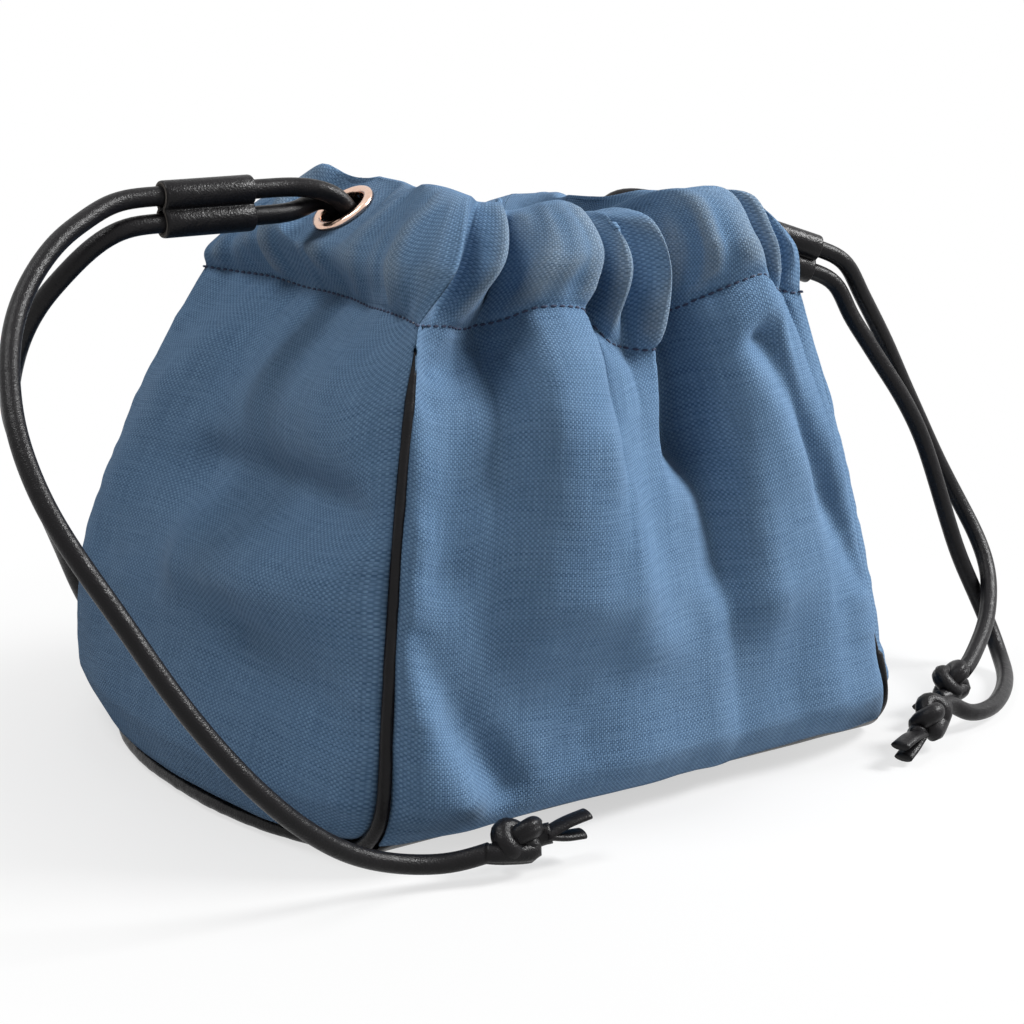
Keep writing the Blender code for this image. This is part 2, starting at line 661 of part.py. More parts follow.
def make_eyelet(side, word, panel, metal):
    centre, facing = EYELETS[panel.name]
    outer = EYELET_BORE_RADIUS + EYELET_TUBE_WALL
    under = EYELET_SEAT_GAP
    back = -CLOTH - SEW_GAP - WASHER_THICKNESS - SEW_GAP
    crown = EYELET_FLANGE_HEIGHT + under
    middle = (EYELET_FLANGE_RADIUS + EYELET_BORE_RADIUS) / 2
    curl = outer + 0.0014
    profile = [
        (EYELET_BORE_RADIUS, back - 0.0004),
        (EYELET_BORE_RADIUS, crown * 0.7),
        (EYELET_BORE_RADIUS + 0.0005, crown * 0.95),
        (middle, crown),
        (EYELET_FLANGE_RADIUS - 0.0004, crown * 0.75),
        (EYELET_FLANGE_RADIUS, under),
        (outer, under),
        (outer, back),
        (curl, back),
        (curl - 0.0003, back - 0.0006),
    ]
    eyelet = turned(word + "_eyelet", profile[::-1], EYELET_SIDES, metal)
    aim(eyelet, centre, facing)
    inner = outer + SEW_GAP
    edge = EYELET_FLANGE_RADIUS - 0.0006
    top = -CLOTH - SEW_GAP
    ring = [
        (inner, top - WASHER_THICKNESS),
        (inner, top),
        (edge, top),
        (edge, top - WASHER_THICKNESS),
    ]
    washer = turned(word + "_eyelet_washer", ring[::-1], EYELET_SIDES, metal)
    aim(washer, centre, facing)
    punch = cylinder(word + "_punch", inner, 6 * CLOTH, 24, metal)
    aim(punch, centre, facing)
    cut(panel, punch)


def make_keeper(name, centre, along, across, leather):
    """Two barrels side by side, bored for the two cord ends that slide through."""
    bore = CORD_DIAMETER / 2 + KEEPER_BORE_CLEARANCE
    outer = bore + KEEPER_WALL
    half = STRAND_SPACING / 2
    keeper = cylinder(name, outer, KEEPER_LENGTH, 20, leather)
    aim(keeper, centre + across * half, along, across)
    partner = cylinder(name + "_barrel", outer, KEEPER_LENGTH, 20, leather)
    aim(partner, centre - across * half, along, across)
    join(keeper, partner)
    for word, side in (("upper", 1), ("lower", -1)):
        drill = cylinder(f"{name}_{word}_bore", bore, KEEPER_LENGTH * 1.2, 16, leather)
        aim(drill, centre + across * (side * half), along, across)
        cut(keeper, drill)
    return keeper


def make_knot(name, place, along, leather):
    """An overhand knot with its cut tail, as a spindle of two wraps."""
    half = KNOT_LENGTH / 2
    wrap = KNOT_RADIUS
    waist = KNOT_RADIUS * 0.82
    profile = [(0, -half), (wrap * 0.55, -half * 0.96), (wrap * 0.95, -half * 0.72)]
    profile += [(wrap, -half * 0.45), (waist, 0), (wrap, half * 0.45)]
    profile += [(wrap * 0.95, half * 0.72), (KNOT_TAIL_RADIUS * 1.1, half * 0.98)]
    profile += [(KNOT_TAIL_RADIUS, half + KNOT_TAIL_LENGTH * 0.5)]
    profile += [(KNOT_TAIL_RADIUS, half + KNOT_TAIL_LENGTH)]
    profile += [(0, half + KNOT_TAIL_LENGTH)]
    knot = turned(name, profile, 12, leather)
    aim(knot, place, along, up=(0, 0.3, 1))
    return knot


# Each cord end leaves its eyelet, runs straight through its keeper and then curves freely
# to its knot. The places in mm are those between eyelet and keeper, and those after it.
KEEPERS = {
    "left": (Vector((-92, 0, 168.75)) * MM, Vector((-1, 0, 0))),
    "right": (Vector((104.1, -17.1, 143.9)) * MM, Vector((0.905, -0.273, -0.328))),
}
STRAIGHT_BEFORE = 0.0268
STRAIGHT_AFTER = 0.0228
CORD_PAIR_OFFSET = 0.0032
ROUTES = {
    "left_front": (
        [(-57, -3.0, 171.5)],
        [(-123, -1.6, 171.2), (-131, -4.8, 168.2), (-141, -9.5, 164), (-151.5, -16, 156.5),
         (-160, -23.5, 148), (-167, -34, 138.5), (-171.5, -45, 127.5), (-173, -54, 118),
         (-172, -63, 107), (-168.5, -72, 95.5), (-161, -80, 80), (-153.5, -88, 64),
         (-145, -94, 49.5), (-135, -98.5, 36), (-124, -100.5, 24.5), (-111, -101, 14.5),
         (-98, -101.5, 8.5), (-86, -104, 6), (-79, -106, 5.8)],
    ),
    "left_back": (
        [(-57, 3.1, 167.2)],
        [(-121.5, 1.2, 162.6), (-127, 3.4, 158.6), (-132.5, 7, 152), (-137, 12, 145),
         (-139.5, 19.5, 135.5), (-139, 30, 123.5), (-134.5, 45, 108.5), (-124, 62, 91),
         (-110, 82, 70), (-95, 102, 48), (-84, 112, 28), (-74, 117, 13.5)],
    ),
    "right_upper": (
        [(57, 2.0, 161.8), (69, -4, 159.4)],
        [(134, -24, 129), (142, -24, 117.5), (148, -24, 108.5), (155, -24.5, 96),
         (163.5, -25.5, 81), (170.5, -28, 66.5), (176, -33, 53), (178, -40.5, 41.5),
         (175.5, -48.5, 32.5), (168.5, -56.5, 25), (158, -65, 18.5)],
    ),
    "right_lower": (
        [(56, -5.0, 160.0), (68, -7.4, 153.4)],
        [(128, -25.5, 122.5), (134.5, -28.5, 112), (139, -30, 105), (144, -32, 97.5),
         (149, -34, 89), (154, -36.5, 78), (158, -39.5, 64), (161.5, -42.5, 50),
         (165.5, -45, 37), (170.5, -48.5, 24), (173, -54, 12), (170, -61.5, 5),
         (160, -73.5, 3.2), (145, -86, 3.2), (130, -94.5, 3.6), (116, -97.5, 6)],
    ),
}
KNOT_PLACES = {
    "left_front": (Vector((-62.5, -109.2, 8.3)) * MM, Vector((1, -0.03, 0.06))),
    "left_back": (Vector((-51.5, 119, 8.3)) * MM, Vector((1, 0.04, -0.12))),
    "right_upper": (Vector((127, -81, 8.8)) * MM, Vector((-0.90, -0.36, -0.20))),
    "right_lower": (Vector((97.5, -101.5, 8.6)) * MM, Vector((-0.88, -0.38, -0.20))),
}
CORD_STEP = 0.0125


def keeper_lift(along):
    """The direction in which a keeper's two barrels lie side by side."""
    along = along.normalized()
    return (Vector((0, 0, 1)) - along * along.z).normalized()


def strand_route(name):
    word, which = name.split("_")
    side = -1 if word == "left" else 1
    centre, facing = eyelet_place(side)
    pair = 1 if which in ("back", "upper") else -1
    offset = Vector((0, pair * CORD_PAIR_OFFSET, 0))
    before, after = ROUTES[name]
    middle, along = KEEPERS[word]
    upper = -pair if word == "left" else pair
    line = middle + keeper_lift(along) * (upper * STRAND_SPACING / 2)
    start, leaving = (centre + offset + facing * reach for reach in (0.0003, 0.005))
    knot, axis = KNOT_PLACES[name]
    back = axis.normalized() * (KNOT_LENGTH / 2 + SEW_GAP)
    along = along.normalized()
    entering = line - along * STRAIGHT_BEFORE
    outside = line + along * STRAIGHT_AFTER
    to_keeper = [leaving, *(Vector(place) * MM for place in before), entering, line]
    to_knot = [line, outside, *(Vector(place) * MM for place in after), knot - back * 1.6]
    lead = evenly(to_keeper, CORD_STEP / 2, last=len(to_keeper) - 2)
    rest = evenly(to_knot, CORD_STEP, first=1)
    return [start, *lead, *rest, knot - back]


def make_loop(name, side, widening, leather):
    """One drawcord's loop inside the hem, from its eyelet right round and back."""
    centre, facing = eyelet_place(side)
    power = 2 / LOOP_SQUARENESS
    loop = []
    for step in range(25):
        angle = math.radians(24 + 312 * step / 24)
        c = math.cos(angle)
        s = math.sin(angle)
        x = side * LOOP_HALF_LENGTH * math.copysign(abs(c) ** power, c)
        y = -(LOOP_HALF_DEPTH + widening) * math.copysign(abs(s) ** power, s)
        sink = LOOP_SPACING / 2 * (1 - side * x / LOOP_HALF_LENGTH)
        loop.append(Vector((x, y, LOOP_HEIGHT - sink - float(mouth_drop(x, y)))))
    ends = []
    for pair in (-1, 1):
        offset = Vector((0, pair * CORD_PAIR_OFFSET, 0))
        rising = [centre + offset - facing * reach for reach in (0.0003, 0.0035, 0.0062)]
        height = LOOP_HEIGHT - float(mouth_drop(side * LOOP_HALF_LENGTH, 0))
        turning = Vector((side * LOOP_HALF_LENGTH, pair * 0.0085, height))
        ends.append(rising + [turning])
    points = [*ends[0], *evenly(loop, CORD_STEP), *ends[1][::-1]]
    return tube(name, points, CORD_DIAMETER, leather)


def make_cords(leather):
    for name, (place, along) in KNOT_PLACES.items():
        tube(name + "_strand", strand_route(name), CORD_DIAMETER, leather)
        make_knot(name + "_knot", place, along, leather)
    make_loop("left_cord_loop", -1, CORD_DIAMETER + LOOP_CLEARANCE, leather)
    make_loop("right_cord_loop", 1, 0.0, leather)


def main():
    for old in list(bpy.data.objects):
        bpy.data.objects.remove(old)
    canvas = material("canvas", CANVAS_BLUE, 0.9)
    leather = material("leather", LEATHER_BLACK, 0.42)
    metal = material("eyelet metal", ROSE_GOLD, 0.22, 1.0)
    panels = make_panels(canvas)
    make_base(leather)
    for side, word in ((-1, "left"), (1, "right")):
        make_piping(word + "_piping", side, leather)
        make_eyelet(side, word, panels[word + "_end_panel"], metal)
    make_cords(leather)
    for word, (centre, along) in KEEPERS.items():
        make_keeper(word + "_keeper", centre, along, keeper_lift(along), leather)


main()
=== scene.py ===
"""A drawstring pouch of washed blue canvas on a black leather base, drawn shut by leather cords."""
import math

import bpy
import numpy as np
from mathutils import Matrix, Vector


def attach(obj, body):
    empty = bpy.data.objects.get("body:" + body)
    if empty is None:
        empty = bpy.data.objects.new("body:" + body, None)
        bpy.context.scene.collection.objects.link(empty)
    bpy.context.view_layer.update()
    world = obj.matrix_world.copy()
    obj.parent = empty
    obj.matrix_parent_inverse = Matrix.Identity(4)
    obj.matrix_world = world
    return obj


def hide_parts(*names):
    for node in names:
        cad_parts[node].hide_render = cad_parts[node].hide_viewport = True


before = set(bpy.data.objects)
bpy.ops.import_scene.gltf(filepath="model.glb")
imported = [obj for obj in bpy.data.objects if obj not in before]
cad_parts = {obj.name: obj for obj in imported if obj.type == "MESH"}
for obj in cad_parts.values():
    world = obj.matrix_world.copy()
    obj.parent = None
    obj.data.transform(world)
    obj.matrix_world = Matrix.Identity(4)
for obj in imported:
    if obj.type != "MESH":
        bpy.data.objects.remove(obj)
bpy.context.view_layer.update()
scene = bpy.context.scene
MM = 0.001

# Camera, floor and light. The pouch stands on a pale table under soft light from the upper
# right, seen from its front left corner at a little above its own height.
AMBIENT_STRENGTH = 0.16
FLOOR_RADIUS = 14
FLOOR_DROP = 0.0002


def placed(name, data):
    """An object of this mesh, curve, lamp or camera, put into the scene."""
    made = bpy.data.objects.new(name, data)
    scene.collection.objects.link(made)
    return made


camera_data = bpy.data.cameras.new("camera")
camera_data.lens = 82.68
camera_data.sensor_width = 36
camera = placed("camera", camera_data)
camera.location = (-0.39926841, -0.58674774, 0.24718117)
camera.rotation_euler = (math.pi / 2 - 0.24815903, 0, -0.61146441)
scene.camera = camera
scene.view_settings.view_transform = "Standard"


class Level:
    """A number or colour on a surface, which adds and multiplies as plain numbers do."""

    def __init__(self, finish, socket):
        self.finish = finish
        self.socket = socket

    def work(self, operation, *others, clamp=False):
        settings = {"operation": operation, "use_clamp": clamp}
        values = dict(enumerate((self, *others)))
        return self.finish.node("ShaderNodeMath", settings, values)

    def __add__(self, other):
        return self.work("ADD", other)

    def __mul__(self, other):
        return self.work("MULTIPLY", other)

    def __sub__(self, other):
        return self.work("SUBTRACT", other)

    def __rsub__(self, other):
        settings = {"operation": "SUBTRACT"}
        return self.finish.node("ShaderNodeMath", settings, {0: other, 1: self})

    def clamped(self):
        return self.work("MULTIPLY", 1.0, clamp=True)

    __radd__ = __add__
    __rmul__ = __mul__


class Finish:
    """A surface finish, whose shader's sockets take numbers, colours or levels."""

    def __init__(self, name):
        self.material = bpy.data.materials.new(name)
        self.material.use_nodes = True
        self.tree = self.material.node_tree
        self.shader = self.tree.nodes["Principled BSDF"]

    def node(self, kind, settings=None, values=None, out=0):
        made = self.tree.nodes.new(kind)
        for key, value in (settings or {}).items():
            setattr(made, key, value)
        self.fill(made, values or {})
        return Level(self, made.outputs[out])

    def fill(self, made, values):
        for key, value in values.items():
            if isinstance(value, Level):
                self.tree.links.new(value.socket, made.inputs[key])
            else:
                made.inputs[key].default_value = value

    def set(self, **values):
        self.fill(self.shader, {key.replace("_", " "): v for key, v in values.items()})

    def mixed(self, mask, first, second):
        """The first colour where the mask is 0 and the second where it is 1."""
        return self.node(
            "ShaderNodeMix", {"data_type": "RGBA"}, {0: mask, 6: first, 7: second}, out=2
        )

    def parts(self, vector):
        made = self.tree.nodes.new("ShaderNodeSeparateXYZ")
        self.fill(made, {0: vector})
        return [Level(self, made.outputs[i]) for i in range(3)]

    def noise(self, vector, scale, detail=2.0, roughness=0.5):
        values = {"Vector": vector, "Scale": scale, "Detail": detail, "Roughness": roughness}
        return self.node("ShaderNodeTexNoise", {}, values)

    def place(self):
        return self.node("ShaderNodeTexCoord", out=3)

    def bumped(self, height, distance, strength=1.0):
        values = {"Height": height, "Distance": distance, "Strength": strength}
        self.set(Normal=self.node("ShaderNodeBump", {}, values))


floor_finish = Finish("table")
across, deep = floor_finish.parts(floor_finish.place())[:2]
far = (across * across + deep * deep).work("SQRT")
fading = (far * 2.2 + 0.42).clamped()
rays = floor_finish.tree.nodes.new("ShaderNodeLightPath")
seen = Level(floor_finish, rays.outputs["Is Camera Ray"])
for kind in ("Is Glossy Ray", "Is Transmission Ray"):
    seen = seen.work("MAXIMUM", Level(floor_finish, rays.outputs[kind]))
glow = floor_finish.node("ShaderNodeEmission", {}, {"Color": (1, 1, 1, 1), "Strength": 1.0})
floor_finish.set(Base_Color=(0.60, 0.60, 0.60, 1), Roughness=0.85)
blend = floor_finish.tree.nodes.new("ShaderNodeMixShader")
floor_finish.fill(blend, {0: fading * seen, 2: glow})
floor_finish.tree.links.new(floor_finish.shader.outputs[0], blend.inputs[1])
output = floor_finish.tree.nodes["Material Output"]
floor_finish.tree.links.new(blend.outputs[0], output.inputs["Surface"])
floor_mesh = bpy.data.meshes.new("floor")
edge = [
    (FLOOR_RADIUS * math.cos(a), FLOOR_RADIUS * math.sin(a), -FLOOR_DROP)
    for a in np.linspace(0, 2 * math.pi, 65)[:-1]
]
floor_mesh.from_pydata(edge, [], [tuple(range(len(edge)))])
floor_mesh.materials.append(floor_finish.material)
floor = placed("floor", floor_mesh)

world = bpy.data.worlds.new("studio")
world.use_nodes = True
scene.world = world
sky = world.node_tree
ambient = sky.nodes["Background"]
ambient.inputs["Color"].default_value = (1, 1, 1, 1)
path = sky.nodes.new("ShaderNodeLightPath")
shown = path.outputs["Is Camera Ray"]
for kind in ("Is Glossy Ray", "Is Transmission Ray"):
    either = sky.nodes.new("ShaderNodeMath")
    either.operation = "MAXIMUM"
    sky.links.new(shown, either.inputs[0])
    sky.links.new(path.outputs[kind], either.inputs[1])
    shown = either.outputs[0]
strength = sky.nodes.new("ShaderNodeMapRange")
strength.inputs["To Min"].default_value = AMBIENT_STRENGTH
strength.inputs["To Max"].default_value = 1.0
sky.links.new(shown, strength.inputs["Value"])
sky.links.new(strength.outputs[0], ambient.inputs["Strength"])


def soft_box(name, place, aimed_at, size, power):
    """A square studio light with a soft cover."""
    data = bpy.data.lights.new(name, "AREA")
    data.shape = "SQUARE"
    data.size = size
    data.energy = power
    lamp = placed(name, data)
    lamp.location = place
    aim = Vector(aimed_at) - Vector(place)
    lamp.rotation_euler = aim.to_track_quat("-Z", "Y").to_euler()


soft_box("key_light", (1.02, -0.54, 1.00), (0, 0, 0.08), 0.45, 36)
soft_box("left_light", (-0.55, 0.12, 1.35), (0, 0, 0.08), 0.5, 10)

# The drawcords. Two leather cords run round inside the hem, one from each eyelet, and both
# ends of each hang free. Each end is a folded strip of black leather about 5.4 mm thick,
# sewn shut along one side, and it ends in an overhand knot with its tail cut open.
CORD = 5.4 * MM
STRAND_SPACING = 7.5 * MM
STRAIGHT_BEFORE = 26.8 * MM
STRAIGHT_AFTER = 22.8 * MM
STRAND_OFFSET = 3.2 * MM
EYELET_CLEARANCE = 5 * MM
SOLID_GAP = 0.3 * MM
EASED_POINTS = 5
SKIN_SIDES = 28
KNOT_LENGTH = 17 * MM
KNOT_UNIT = 2.0 * MM
TAILS = ((1, 13.5 * MM, "upper"), (-1, 11.5 * MM, "lower"))
TAIL_SPREAD = 2.6 * MM
TAIL_HALF_THICKNESS = 1.25
TAIL_HALF_WIDTH = 3.0
MOUTH_DROP = 9 * MM
LOOP_HALF_LENGTH = 41 * MM
LOOP_HALF_DEPTH = 38.3 * MM
STITCH_HEIGHT = 142 * MM
HALF_MOUTH = np.array([66, 66]) * MM
EYELET_SETBACK = 18.7 * MM
EYELET_RISE = 22.5 * MM
EYELET_TILT = math.radians(34)


def through(points, place):
    """Places on the smooth curve through the points; place counts points from 0."""
    points = np.asarray(points, float)
    ends = [2 * points[0] - points[1], 2 * points[-1] - points[-2]]
    padded = np.vstack([ends[:1], points, ends[1:]])
    place = np.clip(np.asarray(place, float), 0, len(points) - 1)
    start = np.minimum(place.astype(int), len(points) - 2)
    t = (place - start).reshape(place.shape + (1,))
    before, first, last, after = (padded[start + i] for i in range(4))
    return 0.5 * (
        2 * first
        + (last - before) * t
        + (2 * before - 5 * first + 4 * last - after) * t**2
        + (3 * first - before - 3 * last + after) * t**3
    )


def evenly(points, spacing, first=0, last=None):
    """The smooth curve from one of the points to another, as points about a spacing apart."""
    last = len(points) - 1 if last is None else last
    fine = through(points, np.linspace(first, last, 40 * len(points)))
    along = np.concatenate([[0], np.cumsum(np.linalg.norm(np.diff(fine, axis=0), axis=1))])
    count = max(2, round(along[-1] / spacing) + 1)
    wanted = np.linspace(0, along[-1], count)
    return np.stack([np.interp(wanted, along, fine[:, i]) for i in range(3)], axis=1)


def mouth_drop(x, y):
    """How far the mouth sags towards its right end and back."""
    rightwards = np.clip((x / LOOP_HALF_LENGTH + 1) / 2, 0, 1)
    backwards = np.clip(y / LOOP_HALF_DEPTH + 1, 0, 1)
    ease = [t * t * (3 - 2 * t) for t in (rightwards, backwards)]
    return MOUTH_DROP * ease[0] * ease[1]


def eyelet_place(side):
    """The middle of an eyelet, on the hem's outer face, and the way it faces."""
    reach = HALF_MOUTH[0] - EYELET_SETBACK
    height = STITCH_HEIGHT + EYELET_RISE - float(mouth_drop(side * reach, 0))
    centre = Vector((side * reach, 0, height))
    facing = Vector((side * math.sin(EYELET_TILT), 0, math.cos(EYELET_TILT)))
    return centre, facing


def frames_along(points, up):
    """For each point of a line, its direction and two directions across it that don't twist."""
    ahead = np.gradient(points, axis=0)
    ahead /= np.linalg.norm(ahead, axis=1, keepdims=True)
    first = np.asarray(up, float)
    sideways = []
    for direction in ahead:
        first = first - direction * (first @ direction)
        first = first / np.linalg.norm(first)
        sideways.append(first)
    sideways = np.array(sideways)
    return ahead, sideways, np.cross(ahead, sideways)


def tube_faces(rings, sides, closed=False):
    """The quads between rings of points; a closed tube's last ring meets its first."""
    faces = []
    for i in range(rings if closed else rings - 1):
        j = (i + 1) % rings
        for k in range(sides):
            m = (k + 1) % sides
            faces.append((i * sides + k, i * sides + m, j * sides + m, j * sides + k))
    return faces


def swept(name, points, outline, finish, up=(0, 0, 1)):
    """A closed tube: at each point, outline(i, angles) gives how far out its skin lies."""
    sides = SKIN_SIDES
    angles = np.linspace(0, 2 * math.pi, sides, endpoint=False)
    ahead, first, second = frames_along(points, up)
    rings = []
    for i, centre in enumerate(points):
        reach = outline(i, angles)[:, None]
        ring = np.cos(angles)[:, None] * first[i] + np.sin(angles)[:, None] * second[i]
        rings.append(centre + ring * reach)
    corners = np.concatenate(rings)
    count = len(points)
    faces = tube_faces(count, sides)
    centres = len(corners)
    corners = np.vstack([corners, points[:1], points[-1:]])
    top = (count - 1) * sides
    for k in range(sides):
        faces.append((centres, (k + 1) % sides, k))
        faces.append((centres + 1, top + k, top + (k + 1) % sides))
    mesh = bpy.data.meshes.new(name)
    mesh.from_pydata(corners.tolist(), [], faces)
    mesh.materials.append(finish.material)
    mesh.shade_smooth()
    length = np.concatenate([[0], np.cumsum(np.linalg.norm(np.diff(points, axis=0), axis=1))])
    layer = mesh.uv_layers.new(name="run")
    loops = np.zeros(len(mesh.loops), int)
    mesh.loops.foreach_get("vertex_index", loops)
    turn = (loops % sides) / sides
    ring = np.minimum(loops // sides, count - 1)
    uv = np.column_stack([turn, length[ring] / MM])
    layer.data.foreach_set("uv", uv.astype(np.float32).ravel())
    return placed(name, mesh)


cord_leather = Finish("cord leather")
grain = cord_leather.place()
pores = cord_leather.node(
    "ShaderNodeTexVoronoi", {"feature": "DISTANCE_TO_EDGE"}, {"Vector": grain, "Scale": 1400.0}
)
creases = cord_leather.noise(grain, 420.0, 3.0, 0.6)
rubbed = cord_leather.noise(grain, 60.0, 2.0)
cord_leather.set(
    Base_Color=cord_leather.mixed(
        rubbed, (0.003, 0.003, 0.0035, 1), (0.009, 0.008, 0.009, 1)
    ),
    Roughness=0.26 + 0.20 * creases,
    Specular_IOR_Level=0.16,
)
cord_leather.bumped(pores * 0.5 + creases * 0.9, 0.00022)

KEEPERS = {
    "left": (Vector((-92, 0, 168.75)) * MM, Vector((-1, 0, 0))),
    "right": (Vector((104.1, -17.1, 143.9)) * MM, Vector((0.905, -0.273, -0.328))),
}
ROUTES = {
    "left_front": (
        [(-57, -3.0, 171.5)],
        [(-123, -1.6, 171.2), (-131, -4.8, 168.2), (-141, -9.5, 164), (-151.5, -16, 156.5),
         (-160, -23.5, 148), (-167, -34, 138.5), (-171.5, -45, 127.5), (-173, -54, 118),
         (-172, -63, 107), (-168.5, -72, 95.5), (-161, -80, 80), (-153.5, -88, 64),
         (-145, -94, 49.5), (-135, -98.5, 36), (-124, -100.5, 24.5), (-111, -101, 14.5),
         (-98, -101.5, 8.5), (-86, -104, 6), (-79, -106, 5.8)],
    ),
    "left_back": (
        [(-57, 3.1, 167.2)],
        [(-121.5, 1.2, 162.6), (-127, 3.4, 158.6), (-132.5, 7, 152), (-137, 12, 145),
         (-139.5, 19.5, 135.5), (-139, 30, 123.5), (-134.5, 45, 108.5), (-124, 62, 91),
         (-110, 82, 70), (-95, 102, 48), (-84, 112, 28), (-74, 117, 13.5)],
    ),
    "right_upper": (
        [(57, 2.0, 161.8), (69, -4, 159.4)],
        [(134, -24, 129), (142, -24, 117.5), (148, -24, 108.5), (155, -24.5, 96),
         (163.5, -25.5, 81), (170.5, -28, 66.5), (176, -33, 53), (178, -40.5, 41.5),
         (175.5, -48.5, 32.5), (168.5, -56.5, 25), (158, -65, 18.5)],
    ),
    "right_lower": (
        [(56, -5.0, 160.0), (68, -7.4, 153.4)],
        [(128, -25.5, 122.5), (134.5, -28.5, 112), (139, -30, 105), (144, -32, 97.5),
         (149, -34, 89), (154, -36.5, 78), (158, -39.5, 64), (161.5, -42.5, 50),
         (165.5, -45, 37), (170.5, -48.5, 24), (173, -54, 12), (170, -61.5, 5),
         (160, -73.5, 3.2), (145, -86, 3.2), (130, -94.5, 3.6), (116, -97.5, 6)],
    ),
}
KNOT_PLACES = {
    "left_front": (Vector((-62.5, -109.2, 8.3)) * MM, Vector((1, -0.03, 0.06))),
    "left_back": (Vector((-51.5, 119, 8.3)) * MM, Vector((1, 0.04, -0.12))),
    "right_upper": (Vector((127, -81, 8.8)) * MM, Vector((-0.90, -0.36, -0.20))),
    "right_lower": (Vector((97.5, -101.5, 8.6)) * MM, Vector((-0.88, -0.38, -0.20))),
}


def keeper_lift(along):
    """The direction in which the two cords lie side by side in their keeper."""
    along = along.normalized()
    return (Vector((0, 0, 1)) - along * along.z).normalized()


def soft_weights(reach):
    """Shares for a point and this many neighbours each way, which fall off softly."""
    weights = np.hanning(2 * reach + 3)[1:-1]
    return weights / weights.sum()


def eased(points, reach):
    """The line with its bends eased over this many points each way, and its ends kept."""
    weights = soft_weights(reach)
    padded = np.pad(points, [(reach, reach), (0, 0)], mode="reflect", reflect_type="odd")
    return sum(w * padded[k : k + len(points)] for k, w in enumerate(weights))


def strand_route(name, spacing):
    """A strand's middle line, from its eyelet through its keeper to its knot."""
    word, which = name.split("_")
    centre, facing = eyelet_place(-1 if word == "left" else 1)
    pair = 1 if which in ("back", "upper") else -1
    offset = Vector((0, pair * STRAND_OFFSET, 0))
    before, after = ROUTES[name]
    middle, along = KEEPERS[word]
    upper = -pair if word == "left" else pair
    line = middle + keeper_lift(along) * (upper * STRAND_SPACING / 2)
    start, leaving = (
        centre + offset + facing * reach for reach in (SOLID_GAP, EYELET_CLEARANCE)
    )
    knot, axis = KNOT_PLACES[name]
    back = axis.normalized() * (KNOT_LENGTH / 2 + SOLID_GAP)
    along = along.normalized()
    entering = line - along * STRAIGHT_BEFORE
    outside = line + along * STRAIGHT_AFTER
    to_keeper = [start, leaving, *(Vector(p) * MM for p in before), entering, line]
    to_knot = [line, outside, *(Vector(p) * MM for p in after), knot - back * 1.6, knot - back]
    lead = evenly(to_keeper, spacing, last=len(to_keeper) - 2)
    straight = evenly([entering, outside], spacing)[1:-1]
    rest = evenly(to_knot, spacing, first=1)
    return eased(np.array([*lead, *straight, *rest]), EASED_POINTS)


def cord_outline(i, angles):
    """A rolled strip: round, with the seam's narrow groove along one side."""
    away = np.angle(np.exp(1j * (angles - 2.4)))
    return CORD / 2 * (1 - 0.16 * np.exp(-((away / 0.16) ** 2)) + 0.02 * np.cos(2 * angles))


def knot_outline(i, angles):
    """The cord in its knot, a little thicker once it is inside."""
    return cord_outline(i, angles) * min(1.1, 0.99 + 0.022 * i)


def tail_outline(i, angles):
    """One half of the cord's end, cut open and flat."""
    thin = (np.cos(angles) / TAIL_HALF_THICKNESS) ** 2
    return MM / np.sqrt(thin + (np.sin(angles) / TAIL_HALF_WIDTH) ** 2)


def knot_line(place, axis, side):
    """The line of a pulled tight overhand knot, from where the cord comes in to its tail."""
    axis = axis.normalized()
    up = (Vector((0, 0, 1)) - axis * axis.z).normalized()
    third = axis.cross(up) * side
    unit = KNOT_UNIT
    line = [place - axis * KNOT_LENGTH * 0.62]
    line.append(place - axis * KNOT_LENGTH * 0.40 - up * 0.3 * unit + third * 0.7 * unit)
    for t in np.linspace(math.pi + 0.62, 3 * math.pi - 0.62, 17):
        a = math.sin(t) + 2 * math.sin(2 * t)
        b = math.cos(t) - 2 * math.cos(2 * t)
        c = -math.sin(3 * t)
        point = place + axis * (a * 0.95 * unit) + up * ((b + 0.2) * 0.92 * unit)
        line.append(point + third * (c * 1.15 * unit))
    line.append(place + axis * KNOT_LENGTH * 0.42 - up * 0.3 * unit - third * 0.7 * unit)
    line.append(place + axis * KNOT_LENGTH * 0.62)
    return line


cords = {}
for number, (name, (place, axis)) in enumerate(KNOT_PLACES.items()):
    route = strand_route(name, 2 * MM)
    strand = swept(name + "_strand_skin", route, cord_outline, cord_leather)
    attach(strand, "pouch")
    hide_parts(name + "_strand")
    line = evenly(knot_line(place, axis, (-1) ** number), 1 * MM)
    knot = swept(name + "_knot_skin", line, knot_outline, cord_leather)
    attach(knot, "pouch")
    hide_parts(name + "_knot")
    tails = []
    axis = axis.normalized()
    up = (Vector((0, 0, 1)) - axis * axis.z).normalized()
    third = axis.cross(up)
    root = place + axis * KNOT_LENGTH * 0.50
    for way, reach, word in TAILS:
        tip = root + axis * reach + up * way * TAIL_SPREAD + third * 0.8 * MM
        middle = root + (tip - root) * 0.5 + up * way * 0.5 * MM
        tail_line = evenly([root, middle, tip], 1 * MM)
        tail = swept(f"{name}_tail_{word}", tail_line, tail_outline, cord_leather)
        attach(tail, "pouch")
        tails.append(tail)
    cords[name] = (strand, route, [knot, *tails])

